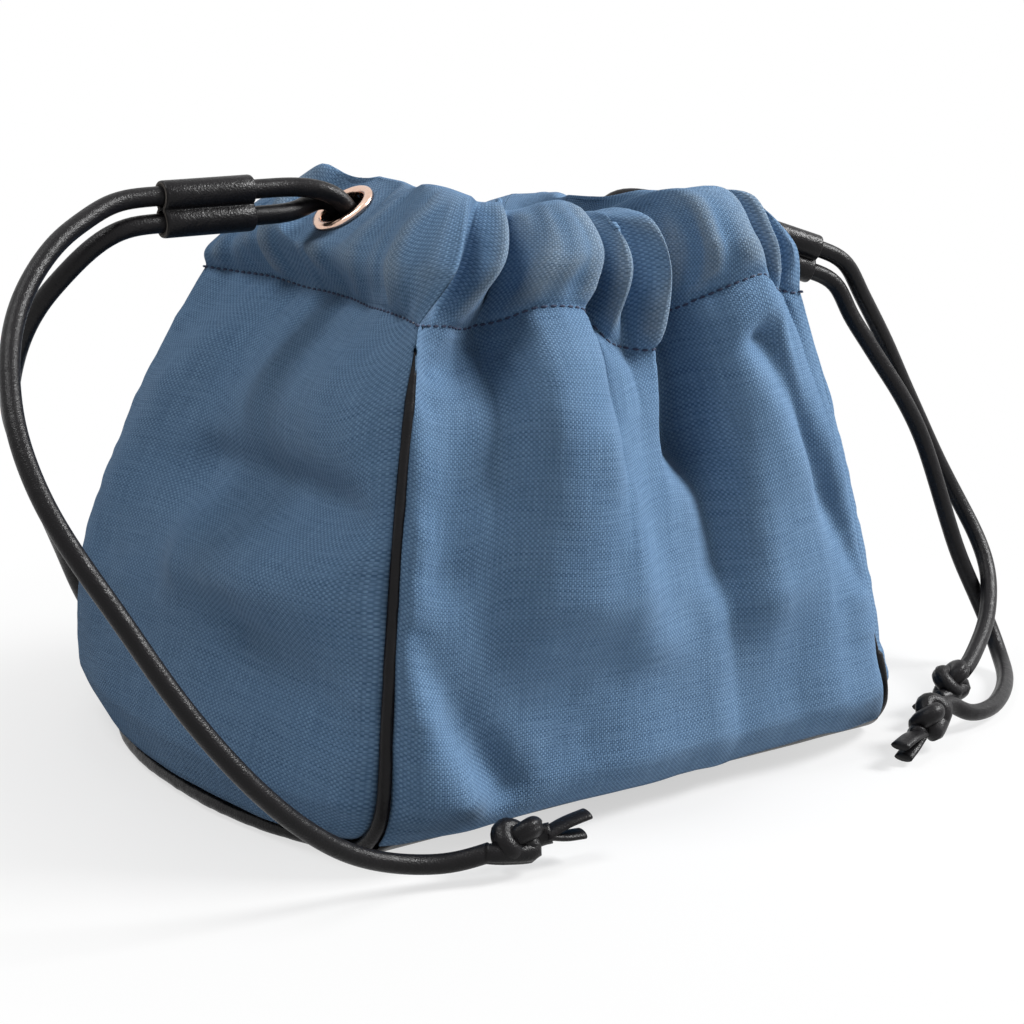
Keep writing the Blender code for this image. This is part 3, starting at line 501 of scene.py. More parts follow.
# The cord keepers. A strip of black leather is rolled round both ends of a cord and glued,
# so that it slides along them and holds the mouth shut. Its cut ends show paler.
KEEPER_LENGTH = 28 * MM
KEEPER_WALL = 1.4 * MM
BORE_CLEARANCE = 0.2 * MM
THINNEST_BORE = 0.9 * MM
LAP_RISE = 0.5 * MM
LAP_ANGLE = 1.2
KEEPER_SIDES = 96
CUT_RING = 8
cut_leather = Finish("cut leather edge")
fibres = cut_leather.noise(cut_leather.place(), 1500.0, 3.0, 0.7)
cut_leather.set(
    Base_Color=cut_leather.mixed(fibres, (0.035, 0.030, 0.028, 1), (0.13, 0.115, 0.10, 1)),
    Roughness=0.9,
)
cut_leather.bumped(fibres, 0.0003)

strap_leather = Finish("strap leather")
grain = strap_leather.place()
pores = strap_leather.node(
    "ShaderNodeTexVoronoi", {"feature": "DISTANCE_TO_EDGE"}, {"Vector": grain, "Scale": 1100.0}
)
wrinkles = strap_leather.noise(grain, 260.0, 4.0, 0.6)
strap_leather.set(
    Base_Color=strap_leather.mixed(
        wrinkles, (0.003, 0.003, 0.0035, 1), (0.008, 0.007, 0.008, 1)
    ),
    Roughness=0.24 + 0.20 * wrinkles,
    Specular_IOR_Level=0.16,
)
strap_leather.bumped(pores * 0.4 + wrinkles, 0.0003)


def keeper_skin(name, middle, along):
    """The rolled strip, as a sleeve drawn in between its two cords."""
    along = along.normalized()
    lift = keeper_lift(along)
    third = along.cross(lift)
    angles = np.linspace(0, 2 * math.pi, KEEPER_SIDES, endpoint=False)
    apart = STRAND_SPACING / 2
    bore = CORD / 2 + BORE_CLEARANCE
    outer = bore + KEEPER_WALL
    across = np.abs(np.sin(angles))
    ahead = np.abs(np.cos(angles))
    skin = apart * ahead + np.sqrt(np.maximum(outer**2 - (apart * across) ** 2, 1e-9))
    reach = apart * ahead + np.sqrt(np.maximum(bore**2 - (apart * across) ** 2, 0))
    hollow = np.where(apart * across < bore * 0.98, reach, 0)
    hollow = np.maximum(hollow, THINNEST_BORE)
    kernel = np.hanning(11)
    kernel /= kernel.sum()
    soft = [
        sum(w * np.roll(r, k - 5) for k, w in enumerate(kernel)) for r in (skin, hollow)
    ]
    lap = np.exp(-((np.angle(np.exp(1j * (angles - LAP_ANGLE))) / 0.10) ** 2)) * LAP_RISE
    half = KEEPER_LENGTH / 2
    rings = []
    for place, share in ((-1, 0), (-0.985, 0.7), (-0.95, 1), (-0.5, 0.975), (0, 0.965),
                         (0.5, 0.975), (0.95, 1), (0.985, 0.7), (1, 0)):
        edge = (soft[0] - soft[1]) * (0.72 + 0.28 * share) + soft[1] + lap * share
        rings.append((place * half, edge))
    for place in (1, 0.9, -0.9, -1):
        rings.append((place * half * 0.995, soft[1]))
    corners = []
    for place, reach in rings:
        for angle, r in zip(angles, reach):
            spot = middle + along * place + lift * (r * math.cos(angle))
            corners.append(spot + third * (r * math.sin(angle)))
    count = len(rings)
    mesh = bpy.data.meshes.new(name)
    mesh.from_pydata([tuple(c) for c in corners], [], tube_faces(count, KEEPER_SIDES, closed=True))
    mesh.materials.append(strap_leather.material)
    mesh.materials.append(cut_leather.material)
    for face in mesh.polygons:
        ring = face.index // KEEPER_SIDES
        face.material_index = 1 if ring in (CUT_RING, count - 1) else 0
    mesh.shade_smooth()
    return placed(name, mesh)


keepers = {}
for word, (middle, along) in KEEPERS.items():
    keeper = keeper_skin(word + "_keeper_skin", middle, along)
    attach(keeper, word + "_cord_keeper")
    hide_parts(word + "_keeper")
    keepers[word] = keeper
for name, (strand, route, pieces) in cords.items():
    held = [keepers[name.split("_")[0]]] if name in ("left_front", "right_upper") else []
    pieces + held
for name in ("left_cord_loop", "right_cord_loop"):
    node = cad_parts[name]
    node.data.materials.clear()
    node.data.materials.append(cord_leather.material)

# The canvas. Washed blue cotton canvas of about 14 threads per cm, woven from slightly
# uneven yarn, with its ridges and hem rubbed paler. Four panels are sewn together at the
# corners; their upper edges are folded in and stitched down as a tunnel for the cords.
THREAD_PITCH = 0.70 * MM
CLOTH = 0.9 * MM
RIM_RISE = 30 * MM
HALF_BASE = np.array([95, 92]) * MM
RIM_HEIGHT = STITCH_HEIGHT + RIM_RISE
LOOP_HEIGHT = STITCH_HEIGHT + 15.5 * MM
LOOP_SPACING = 7.2 * MM
TAPER_START = 0.60
END_BULGE = 14.5 * MM
FRONT_BULGE = 2 * MM
SEAM_PUFF = 6.5 * MM
SEAM_PUFF_WIDTH = 3.4 * MM
FRONT_CORNER_ROUND = 20 * MM
BACK_CORNER_ROUND = 28 * MM
BASE_SEAM_HEIGHT = 6.5 * MM
PIPING_RADIUS = 2.1 * MM
PIPING_TOP_RADIUS = 1.4 * MM
PIPING_LIFT = 2.6 * MM
PIPING_SINK = 0.9 * MM
PIPING_TOP = 0.952
SEAM_GAP = -0.3 * MM
EYELET_FLAT_RADIUS = 18.5 * MM
EYELET_HOLE = 7.6 * MM
HEM_ROWS = 76
BODY_ROWS = 96
INNER_ROWS = 30
PUCKER_RISE = 0.95 * MM
STITCH_DIP = 0.55 * MM
SLACK_RISE = 0.8 * MM
SEAM_RIPPLE = 0.5 * MM
HEM_WRINKLE = 1.5 * MM
UP = np.array([0.0, 0.0, 1.0])
PANELS = {
    "front_panel": ((1, 0), (0, -1)),
    "right_end_panel": ((0, 1), (1, 0)),
    "back_panel": ((-1, 0), (0, 1)),
    "left_end_panel": ((0, -1), (-1, 0)),
}
CORNERS = {
    (-1, -1): ((0, -2), (0, 0)),
    (1, -1): ((-3, -2), (-4, -3)),
    (1, 1): ((0, 4), (0, 2)),
    (-1, 1): ((5, 5), (1, 3)),
}
GATHERS = {
    "front_panel": [
        ((-1.00, 0, 0), (-0.86, 5, 0), (-0.61, -14, 1), 30),
        ((-0.91, -2, -1), (-0.76, -4, 0), (-0.55, -17, -1), 30),
        ((-0.82, -3, -2), (-0.65, 4, 0), (-0.48, -12, -1), 26),
        ((-0.72, -8, -4), (-0.56, -5, 0), (-0.41, -20, -2), 30),
        ((-0.61, -10, -4), (-0.47, -13, 0), (-0.34, -24, -5), 38),
        ((-0.46, 3, 2), (-0.33, 4, 1), (-0.26, -12, -2), 60),
        ((-0.26, 5, 1), (-0.16, 4, 1), (-0.16, -12, -2), 60),
        ((-0.14, -3, -4), (-0.07, -12, -1), (-0.06, -24, -8), 40),
        ((-0.07, 1, -10), (-0.01, 5, -4), (0.02, -9, -6), 30),
        ((0.03, 0, -13), (0.06, -6, -6), (0.08, -19, -8), 30),
        ((0.14, 4, -14), (0.20, 6, -6), (0.20, -8, -7), 34),
        ((0.21, -3, -12), (0.26, -7, -4), (0.26, -20, -7), 40),
        ((0.31, -13, -8), (0.33, -15, -2), (0.33, -26, -10), 70),
        ((0.41, -1, -2), (0.40, 0, 0), (0.40, -14, -2), 60),
        ((0.55, 6, 3), (0.52, 6, 1), (0.51, -9, -1), 90),
        ((0.70, 7, 5), (0.67, 5, 1), (0.63, -11, -1), 90),
        ((0.79, 3, 1), (0.75, -5, 0), (0.69, -20, -3), 50),
        ((0.85, 2, -1), (0.81, 2, 0), (0.75, -13, -3), 26),
        ((0.90, -1, -2), (0.87, -5, 0), (0.80, -18, -6), 26),
        ((0.95, 0, -3), (0.93, 0, -2), (0.85, -14, -7), 26),
        ((1.00, 0, -3), (0.98, -2, -3), (0.88, -17, -10), 30),
    ],
    "right_end_panel": [
        ((-1.00, 0, -3), (-0.97, -2, -3), (-0.76, -9, -10), 30),
        ((-0.80, -2, -1), (-0.80, 1, -3), (-0.62, -14, -8), 36),
        ((-0.50, -7, -1), (-0.50, 0, -1), (-0.40, -20, -4), 50),
        ((-0.12, -11, -1), (-0.12, -4, -1), (-0.11, -29, 1), 60),
        ((0.12, -11, -1), (0.12, -4, -1), (0.11, -29, 1), 60),
        ((0.42, -7, -1), (0.42, 0, -1), (0.36, -22, -1), 50),
        ((0.75, -3, 0), (0.76, 1, 0), (0.60, -20, -3), 36),
        ((1.00, 0, 0), (0.97, -3, -1), (0.78, -22, -4), 30),
    ],
    "back_panel": [
        ((-1.00, 0, 0), (-0.96, -3, -1), (-0.66, -16, -4), 30),
        ((-0.80, 4, 1), (-0.72, 5, 0), (-0.55, -10, -7), 60),
        ((-0.62, -7, -2), (-0.55, -9, 0), (-0.44, -20, -8), 50),
        ((-0.42, 5, 1), (-0.38, 5, 0), (-0.32, -10, -4), 60),
        ((-0.22, -9, -4), (-0.22, -10, 0), (-0.20, -20, -6), 60),
        ((0.00, 6, 1), (-0.02, 5, 0), (-0.05, -9, -5), 80),
        ((0.22, -8, -3), (0.18, -10, 0), (0.12, -20, -6), 60),
        ((0.42, 5, 1), (0.36, 5, 0), (0.28, -10, -5), 60),
        ((0.60, -6, -2), (0.52, -8, 0), (0.42, -18, -6), 50),
        ((0.80, 4, 0), (0.74, 5, -2), (0.56, -11, -6), 50),
        ((1.00, 0, 0), (1.00, -4, -7), (0.68, -16, -7), 30),
    ],
    "left_end_panel": [
        ((-1.00, 0, 0), (-0.94, -4, -7), (-0.76, -21, -7), 30),
        ((-0.80, -4, 0), (-0.78, -3, -5), (-0.68, -21, -8), 36),
        ((-0.56, -8, 0), (-0.54, -2, -1), (-0.50, -22, 1), 50),
        ((-0.30, -10, -1), (-0.28, -1, 3), (-0.28, -20, 5), 60),
        ((-0.10, -11, -1), (-0.09, -4, 1), (-0.09, -29, 1), 60),
        ((0.12, -11, -1), (0.12, -5, 0), (0.12, -29, 1), 60),
        ((0.36, -8, -1), (0.36, -3, 0), (0.34, -25, 1), 50),
        ((0.56, -5, 0), (0.58, -4, 0), (0.50, -22, 3), 40),
        ((0.80, -3, 0), (0.82, 0, 1), (0.66, -22, 3), 30),
        ((1.00, 0, 0), (1.04, -9, 0), (0.79, -28, 1), 30),
    ],
}
BODY_FOLDS = {
    "front_panel": [
        ((-0.93, 0.92), (-0.60, 0.98), -12.0, 11),
        ((-0.90, 0.90), (-0.88, 0.56), -6.0, 8),
        ((-0.40, 0.90), (-0.32, 0.48), 12.0, 17),
        ((0.50, 0.42), (0.56, 0.97), 8.5, 13),
        ((0.68, 0.88), (0.95, 0.38), -8.0, 4.5),
        ((0.14, 0.97), (0.24, 0.74), -12.0, 10),
        ((0.24, 0.76), (0.30, 0.50), -4.5, 12),
        ((-0.26, 0.76), (-0.06, 0.36), 4.0, 9),
        ((-0.97, 0.44), (-0.62, 0.12), -6.5, 6),
        ((-0.86, 0.47), (-0.44, 0.16), -4.0, 15),
        ((-0.99, 0.31), (-0.74, 0.04), 5.0, 9),
    ],
    "left_end_panel": [
        ((-0.05, 0.48), (0.97, 0.52), 8.0, 11),
        ((-0.25, 0.63), (0.97, 0.65), -9.0, 10),
        ((0.05, 0.84), (0.80, 0.84), 7.0, 13),
        ((0.35, 0.34), (0.85, 0.30), -5.0, 12),
        ((-0.60, 0.86), (-0.85, 0.40), 4.5, 10),
    ],
    "right_end_panel": [
        ((-0.10, 0.90), (0.15, 0.35), 5.0, 13),
        ((0.55, 0.85), (0.45, 0.50), -4.0, 11),
    ],
    "back_panel": [
        ((-0.50, 0.90), (-0.35, 0.40), 5.5, 13),
        ((0.10, 0.92), (0.05, 0.55), -5.0, 12),
        ((0.55, 0.88), (0.70, 0.45), 5.0, 12),
    ],
}
EYELETS = {"left_end_panel": eyelet_place(-1), "right_end_panel": eyelet_place(1)}


def rounding(height, radius):
    """How far a corner of this radius draws a wall in at this height above its foot."""
    below = np.clip(1 - height / radius, 0, 1)
    return radius * (1 - np.sqrt(1 - below**2))


def piping_radius(h):
    """The piping's radius, which tapers towards the hem."""
    return PIPING_TOP_RADIUS + (PIPING_RADIUS - PIPING_TOP_RADIUS) * (1 - h) ** 2


def corner_round(sy):
    """How round the foot of the front or the back is."""
    return FRONT_CORNER_ROUND if sy < 0 else BACK_CORNER_ROUND


def corner(sx, sy, h):
    """The seam's place in plan at a share h of the stitch height, before its foot rounds."""
    (shift_x, shift_y), (belly_x, belly_y) = CORNERS[(sx, sy)]
    drop = TAPER_START * h + (1 - TAPER_START) * h**3
    half = HALF_BASE + np.multiply.outer(drop, HALF_MOUTH - HALF_BASE)
    belly = 4 * h * (1 - h)
    x = half[..., 0] - shift_x * MM * h**2 + belly_x * MM * belly
    y = half[..., 1] - shift_y * MM * h**2 + belly_y * MM * belly
    return np.stack([sx * x, sy * y], axis=-1)


def fold_relief(name, across, h):
    """The body's long soft folds at each place, outwards."""
    half_width = HALF_MOUTH[0]
    total = np.zeros_like(across)
    place = np.stack([across * half_width, h * STITCH_HEIGHT], axis=-1)
    for start, end, rise, width in BODY_FOLDS.get(name, ()):
        a = np.array([start[0] * half_width, start[1] * STITCH_HEIGHT])
        b = np.array([end[0] * half_width, end[1] * STITCH_HEIGHT])
        t = ((place - a) @ (b - a)) / ((b - a) @ (b - a))
        near = a + np.clip(t, 0, 1)[..., None] * (b - a)
        distance = np.linalg.norm(place - near, axis=-1)
        total += rise * MM * np.exp(-((distance / (width * MM)) ** 2))
    return total * (1 - across**6) * np.clip(h / 0.12, 0, 1)


LAPPED_SEAMS = ((1, -1), (-1, 1))


def panel_corners(along, outward):
    """The signs of X and Y at the panel's two upright seams."""
    return [tuple(int(s) for s in (side * along + outward)[:2]) for side in (-1, 1)]


def seam_inset(sign, h):
    """How far a panel's edge stops short of its corner, where the piping shows."""
    puckers = 0.5 + 0.5 * np.sin(23 * h + 1.3) * np.sin(11 * h + 0.4)
    covering = 0.40 * h + 0.25 * puckers
    if sign in LAPPED_SEAMS:
        covering = np.maximum(covering, 0.95 * np.clip((h - 0.18) / 0.12, 0, 1))
    covering = covering * np.clip(h / 0.15, 0, 1)
    return (piping_radius(h) + PIPING_SINK + SEAM_GAP) * (1 - covering)


def wall(name, across, h, seamed=True):
    """The body before gathering; across runs from -1 to 1, h is a share of its height."""
    closed = np.clip((h - PIPING_TOP - 0.004) / 0.010, 0, 1)
    along, outward = (np.array([*v, 0.0]) for v in PANELS[name])
    height = h * STITCH_HEIGHT
    is_end = "end" in name
    ends = []
    for sign in panel_corners(along, outward):
        plan = corner(*sign, h)
        inset = seam_inset(sign, h) * (1 - closed) * seamed
        if is_end:
            radius = corner_round(sign[1]) - inset
            foot = PIPING_LIFT + inset
            drawn_in = inset + rounding(height - foot, radius)
            plan = plan - np.stack([np.zeros_like(h), sign[1] * drawn_in], axis=-1)
        else:
            drawn_in = rounding(height, corner_round(sign[1]))
            plan = plan - np.stack([sign[0] * inset, sign[1] * drawn_in], axis=-1)
        ends.append(plan)
    share = ((across + 1) / 2)[..., None]
    plan = ends[0] * (1 - share) + ends[1] * share
    bulge = END_BULGE if is_end else FRONT_BULGE
    swell = bulge * (1 - h) * (1 - np.abs(across) ** 2.4) + fold_relief(name, across, h)
    from_seam = (1 - np.abs(across)) * np.linalg.norm(ends[1] - ends[0], axis=-1) / 2
    puff = SEAM_PUFF * (1 - np.exp(-from_seam / SEAM_PUFF_WIDTH))
    swell = swell + puff * np.clip(h / 0.12, 0, 1) * (1 - h**6)
    plan = plan + swell[..., None] * outward[:2]
    return np.concatenate([plan, height[..., None] * np.ones_like(plan[..., :1])], axis=-1)


def gather_points(name):
    """The gathers' crossings with stitch line, half height and rim, and their reach."""
    along, outward = (np.array([*v, 0.0]) for v in PANELS[name])
    levels = (STITCH_HEIGHT, STITCH_HEIGHT + RIM_RISE / 2, RIM_HEIGHT)
    found = [[], [], []]
    reach = []
    plain = [corner(*sign, np.array(1.0)) for sign in panel_corners(along, outward)]
    for *crossings, depth in GATHERS[name]:
        for level, (share, out, rise) in enumerate(crossings):
            mix = (share + 1) / 2
            plan = plain[0] * (1 - mix) + plain[1] * mix + out * MM * outward[:2]
            height = levels[level] + rise * MM - mouth_drop(*plan)
            found[level].append([*plan, height])
        reach.append([depth * MM])
    if "end" in name:
        order = list(PANELS)
        index = order.index(name)
        for end, other, theirs in ((0, order[index - 1], -1), (-1, order[(index + 1) % 4], 0)):
            others = gather_points(other)[0]
            for level in range(3):
                found[level][end] = others[level][theirs]
    return [np.array(level) for level in found], np.array(reach)


def deepened(points, outward, share):
    """The crossings with each valley drawn further in."""
    points = points.copy()
    out = points @ outward
    for i in range(1, len(points) - 1):
        depth = (out[i - 1] + out[i + 1]) / 2 - out[i]
        if out[i] < min(out[i - 1], out[i + 1]):
            points[i] -= share * depth * outward
    return points


def creased(points, place, outward):
    """The smooth line through the crossings, with round ridges and creased valleys."""
    smooth = through(points, place)
    out = points @ outward
    is_valley = np.zeros(len(points), bool)
    is_valley[1:-1] = (out[1:-1] < out[:-2]) & (out[1:-1] < out[2:])
    start = np.minimum(place.astype(int), len(points) - 2)
    t = place - start
    from_valley = np.where(is_valley[start], t, 1 - t)
    low = np.where(is_valley[start], out[start], out[start + 1])
    high = np.where(is_valley[start], out[start + 1], out[start])
    rounded = low + (high - low) * (from_valley + 0.75 * from_valley * (1 - from_valley))
    beside_valley = is_valley[start] | is_valley[start + 1]
    change = np.where(beside_valley, 0.75 * (rounded - smooth @ outward), 0)
    return smooth + change[:, None] * outward


def inner_wall(rim, across, height):
    """Where the hem's inner ply stands behind the cords."""
    room = CORD / 2 + 3.4 * MM
    whole = np.array([LOOP_HALF_LENGTH, LOOP_HALF_DEPTH])
    half = whole - room
    share = ((across + 1) / 2)[:, None]
    plan = rim[0, :2] * (1 - share) + rim[-1, :2] * share
    found = plan / ((np.abs(plan / half) ** 3.0).sum(axis=1) ** (1 / 3.0))[:, None]
    beside = found * whole / half
    return np.column_stack([found, height - mouth_drop(beside[:, 0], beside[:, 1])])


def uneven(u, v, size, seed):
    """Soft noise from -1 to 1 over a surface, with features of about this size."""
    lattice = np.random.default_rng(seed).uniform(-1, 1, (67, 67))
    x = u / size + 31.7
    y = v / size + 17.3
    i = np.floor(x).astype(int)
    j = np.floor(y).astype(int)
    s = x - i
    t = y - j
    s = s * s * s * (s * (6 * s - 15) + 10)
    t = t * t * t * (t * (6 * t - 15) + 10)

    def at(a, b):
        return lattice[a % 67, b % 67]

    low = at(i, j) * (1 - s) + at(i + 1, j) * s
    high = at(i, j + 1) * (1 - s) + at(i + 1, j + 1) * s
    return low * (1 - t) + high * t


def facing_out(grid):
    """The outward direction at each point of a grid."""
    normal = np.cross(np.gradient(grid, axis=1), np.gradient(grid, axis=0))
    return normal / np.linalg.norm(normal, axis=-1, keepdims=True)


def smoothed(grid, reach):
    """The grid with each point drawn to the middle of its neighbours."""
    weights = soft_weights(reach)
    for axis in (0, 1):
        pads = [(reach, reach) if a == axis else (0, 0) for a in range(3)]
        padded = np.pad(grid, pads, mode="reflect", reflect_type="odd")
        size = grid.shape[axis]
        grid = sum(
            w * np.take(padded, range(k, k + size), axis=axis) for k, w in enumerate(weights)
        )
    return grid


def panel_grid(name, columns):
    """Rows of points over the panel's outer face, from base seam to folded-in hem."""
    (stitch, middle, rim), reach = gather_points(name)
    outward = np.array([*PANELS[name][1], 0.0])
    along = np.array([*PANELS[name][0], 0.0])
    place = np.linspace(0, len(stitch) - 1, columns)
    at_stitch = creased(deepened(stitch, outward, 0.22), place, outward)
    at_middle = creased(deepened(middle, outward, 0.25), place, outward)
    at_rim = creased(rim, place, outward)
    depth = np.maximum(through(reach, place), 0.02)
    steps = np.linalg.norm(np.diff(at_stitch, axis=0), axis=1)
    across = 2 * np.concatenate([[0], np.cumsum(steps)]) / steps.sum() - 1
    plain = wall(name, across, np.ones_like(across), seamed=False)
    moved = at_stitch - plain
    is_end = "end" in name
    foot = PIPING_LIFT + PIPING_RADIUS + PIPING_SINK + 0.3 * MM if is_end else BASE_SEAM_HEIGHT
    lowest = foot / STITCH_HEIGHT
    rows = []
    for row in np.linspace(0, 0.985, BODY_ROWS):
        h = lowest + (1 - lowest) * row
        kept = np.exp(-(((1 - h) * STITCH_HEIGHT / depth) ** 1.4))
        rows.append(wall(name, across, np.full_like(across, h)) + moved * kept)
    h = lowest + (1 - lowest) * 0.968
    kept = np.exp(-(((1 - h) * STITCH_HEIGHT / depth) ** 1.4))
    last = wall(name, across, np.full_like(across, h), seamed=False) + moved * kept
    side = np.sign(across) * (np.abs(across) > 1 - 1e-9)
    corner_side = side[:, None] * along
    facing = np.cross(np.gradient(at_stitch, axis=0), UP)
    facing /= np.linalg.norm(facing, axis=1, keepdims=True)
    facing = np.where(side[:, None] == 0, facing, outward + corner_side)
    ply = 2 * CLOTH + 0.3 * MM
    inside = at_stitch - ply * facing - 0.001 * UP * np.where(side == 0, 1, -1)[:, None]
    loop_top = LOOP_HEIGHT + CORD / 2
    loop_foot = LOOP_HEIGHT - LOOP_SPACING - CORD / 2 - 0.5 * MM
    walls = [inner_wall(at_rim, across, height) for height in (loop_top, loop_foot)]
    path = np.stack([last, at_stitch, at_middle, at_rim, *walls, inside])
    outside = np.linspace(1, 3, HEM_ROWS - INNER_ROWS)
    steps = np.concatenate([outside, np.linspace(3, 6, INNER_ROWS + 1)[1:]])
    hem = [through(path, np.array(step)) for step in steps]
    grid = np.stack(rows + hem)
    if name in EYELETS:
        centre, forward = (np.array(v) for v in EYELETS[name])
        top = BODY_ROWS + HEM_ROWS - INNER_ROWS - 1
        part = grid[BODY_ROWS + 1 : top + 9]
        height = (part - centre) @ forward
        flat = part - height[..., None] * forward
        distance = np.linalg.norm(flat - centre, axis=-1)
        weight = np.clip((EYELET_FLAT_RADIUS * 1.3 - distance) / (EYELET_FLAT_RADIUS * 0.55), 0, 1)
        weight = weight * weight * (3 - 2 * weight)
        fade = np.ones(len(part))
        fade[:12] = np.linspace(0, 1, 12)
        fade[-9:] = np.linspace(1, 0.1, 9)
        part += (flat - part) * (weight * fade[:, None])[..., None]
    return grid, across


def dressed(name, grid, across):
    """The grid with the cloth's small puckers, seam dips and slack, and its woven places."""
    run = np.linalg.norm(np.diff(grid[BODY_ROWS], axis=0), axis=1)
    u = np.concatenate([[0], np.cumsum(run)]) * np.ones((len(grid), 1))
    rise = np.linalg.norm(np.diff(grid, axis=0), axis=2)
    v = np.concatenate([np.zeros((1, grid.shape[1])), np.cumsum(rise, axis=0)])
    from_stitch = v - v[BODY_ROWS]
    outer = np.ones(len(grid))
    outer[BODY_ROWS + HEM_ROWS - INNER_ROWS - 4 :] = 0
    outer = np.convolve(outer, np.ones(7) / 7, mode="same")[:, None]
    seed = 11 + len(name)
    near = np.abs(from_stitch)
    pucker = uneven(u, v * 0.12, 5.5 * MM, seed) + 0.6 * uneven(u, v * 0.25, 3.2 * MM, seed + 1)
    beside = np.exp(-near / (9 * MM)) * (1 - np.exp(-((near / (2 * MM)) ** 2)))
    lift = PUCKER_RISE * pucker * beside
    lift -= STITCH_DIP * np.exp(-((near / (1.3 * MM)) ** 2))
    slack = uneven(u, v, 26 * MM, seed + 2) + 0.5 * uneven(u, v, 13 * MM, seed + 3)
    below = np.clip(-from_stitch / (12 * MM), 0, 1)
    lift += SLACK_RISE * slack * below
    edge = (1 - np.abs(across)) * 80 * MM
    seam = uneven(u * 0.1, v, 6 * MM, seed + 4) + 0.5 * uneven(u * 0.1, v, 3.5 * MM, seed + 5)
    lift += SEAM_RIPPLE * seam * np.exp(-(((edge - 5 * MM) / (5 * MM)) ** 2)) * below
    in_hem = np.clip(from_stitch / (6 * MM), 0, 1)
    lift += HEM_WRINKLE * uneven(u, v * 0.3, 7 * MM, seed + 6) * in_hem
    if name in EYELETS:
        centre = np.array(EYELETS[name][0])
        away = np.linalg.norm(grid - centre, axis=-1)
        lift *= np.clip((away - 12 * MM) / (6 * MM), 0, 1)
    lift *= outer * np.clip((1 - np.abs(across)) * 30, 0, 1)
    grid = grid + facing_out(grid) * lift[..., None]
    bulging = ((grid - smoothed(grid, 7)) * facing_out(grid)).sum(axis=-1) / MM
    wear = np.clip(bulging / 0.8 - 0.15, 0, 1) * outer * (0.06 + 0.94 * in_hem)
    return grid, u, v, wear


def punched(name, grid):
    """Which of the grid's cells the eyelet's hole takes away."""
    cells = np.zeros((len(grid) - 1, grid.shape[1] - 1), bool)
    if name in EYELETS:
        centre, forward = (np.array(v) for v in EYELETS[name])
        middle = (grid[:-1, :-1] + grid[1:, 1:]) / 2 - centre
        height = middle @ forward
        flat = np.linalg.norm(middle - height[..., None] * forward, axis=-1)
        cells = (flat < EYELET_HOLE) & (np.abs(height) < 3 * MM)
        cells[: BODY_ROWS + 4] = False
        cells[BODY_ROWS + HEM_ROWS - INNER_ROWS + 6 :] = False
    return cells


def cloth_piece(name, grid, normal, u, v, wear, holes, finish):
    """The sheet with its thickness, its weave's places and how worn it is."""
    inside = grid - normal * CLOTH
    rows, columns = grid.shape[:2]
    count = rows * columns
    index = np.arange(count).reshape(rows, columns)
    a, b = index[:-1, :-1], index[:-1, 1:]
    c, d = index[1:, 1:], index[1:, :-1]
    keep = ~holes
    outer = np.stack([a, b, c, d], axis=-1)[keep]
    inner = np.stack([a, d, c, b], axis=-1)[keep] + count
    edges = {}
    for face in outer.tolist():
        for p, q in zip(face, face[1:] + face[:1]):
            if (q, p) in edges:
                del edges[(q, p)]
            else:
                edges[(p, q)] = True
    rim_faces = [(q, p, p + count, q + count) for p, q in edges]
    mesh = bpy.data.meshes.new(name)
    faces = outer.tolist() + inner.tolist() + rim_faces
    points = np.concatenate([grid.reshape(-1, 3), inside.reshape(-1, 3)])
    mesh.from_pydata(points.tolist(), [], faces)
    mesh.shade_smooth()
    mesh.materials.append(finish.material)
    loops = np.zeros(len(mesh.loops), int)
    mesh.loops.foreach_get("vertex_index", loops)
    uv = np.column_stack([u.ravel(), v.ravel()])[loops % count] / THREAD_PITCH
    mesh.uv_layers.new(name="weave").data.foreach_set("uv", uv.astype(np.float32).ravel())
    worn = mesh.attributes.new("wear", "FLOAT", "POINT")
    worn.data.foreach_set("value", np.tile(wear.ravel(), 2).astype(np.float32))
    return placed(name, mesh)


canvas = Finish("washed blue canvas")
woven = canvas.node("ShaderNodeUVMap", {"uv_map": "weave"})
warp, weft = canvas.parts(woven)[:2]
warp_wave = (warp * math.pi).work("SINE")
weft_wave = (weft * math.pi).work("SINE")
over = (warp_wave * weft_wave * 1.6 + 0.5).clamped()
warp_yarn = canvas.noise(
    canvas.node("ShaderNodeCombineXYZ", {}, {0: warp * 0.9, 1: weft * 0.05}), 1.0
)
weft_yarn = canvas.noise(
    canvas.node("ShaderNodeCombineXYZ", {}, {0: warp * 0.05, 1: weft * 0.9, 2: 7.0}), 1.0
)
yarn = over * warp_yarn + (1 - over) * weft_yarn
thread = over * warp_wave.work("ABSOLUTE") + (1 - over) * weft_wave.work("ABSOLUTE")
place = canvas.place()
fading = canvas.noise(place, 26.0, 3.0, 0.55)
flecks = canvas.noise(place, 900.0, 2.0, 0.6)
wear = canvas.node("ShaderNodeAttribute", {"attribute_name": "wear"}, {}, out=2)
tone = ((over - 0.5) * 0.42 + (yarn - 0.5) * 1.1 + (thread - 0.6) * 0.25 + 0.5).clamped()
blue = canvas.mixed(tone, (0.040, 0.086, 0.165, 1), (0.150, 0.258, 0.405, 1))
faded = canvas.mixed(tone, (0.048, 0.096, 0.172, 1), (0.165, 0.270, 0.410, 1))
cloth_colour = canvas.mixed((fading * 1.8 - 0.5).clamped(), blue, faded)
rubbed = canvas.mixed(tone, (0.085, 0.122, 0.165, 1), (0.240, 0.303, 0.370, 1))
canvas.set(
    Base_Color=canvas.mixed((wear * (0.3 + 0.7 * flecks)).clamped(), cloth_colour, rubbed),
    Roughness=0.95,
    Specular_IOR_Level=0.06,
    Sheen_Weight=0.06,
    Sheen_Roughness=0.5,
)
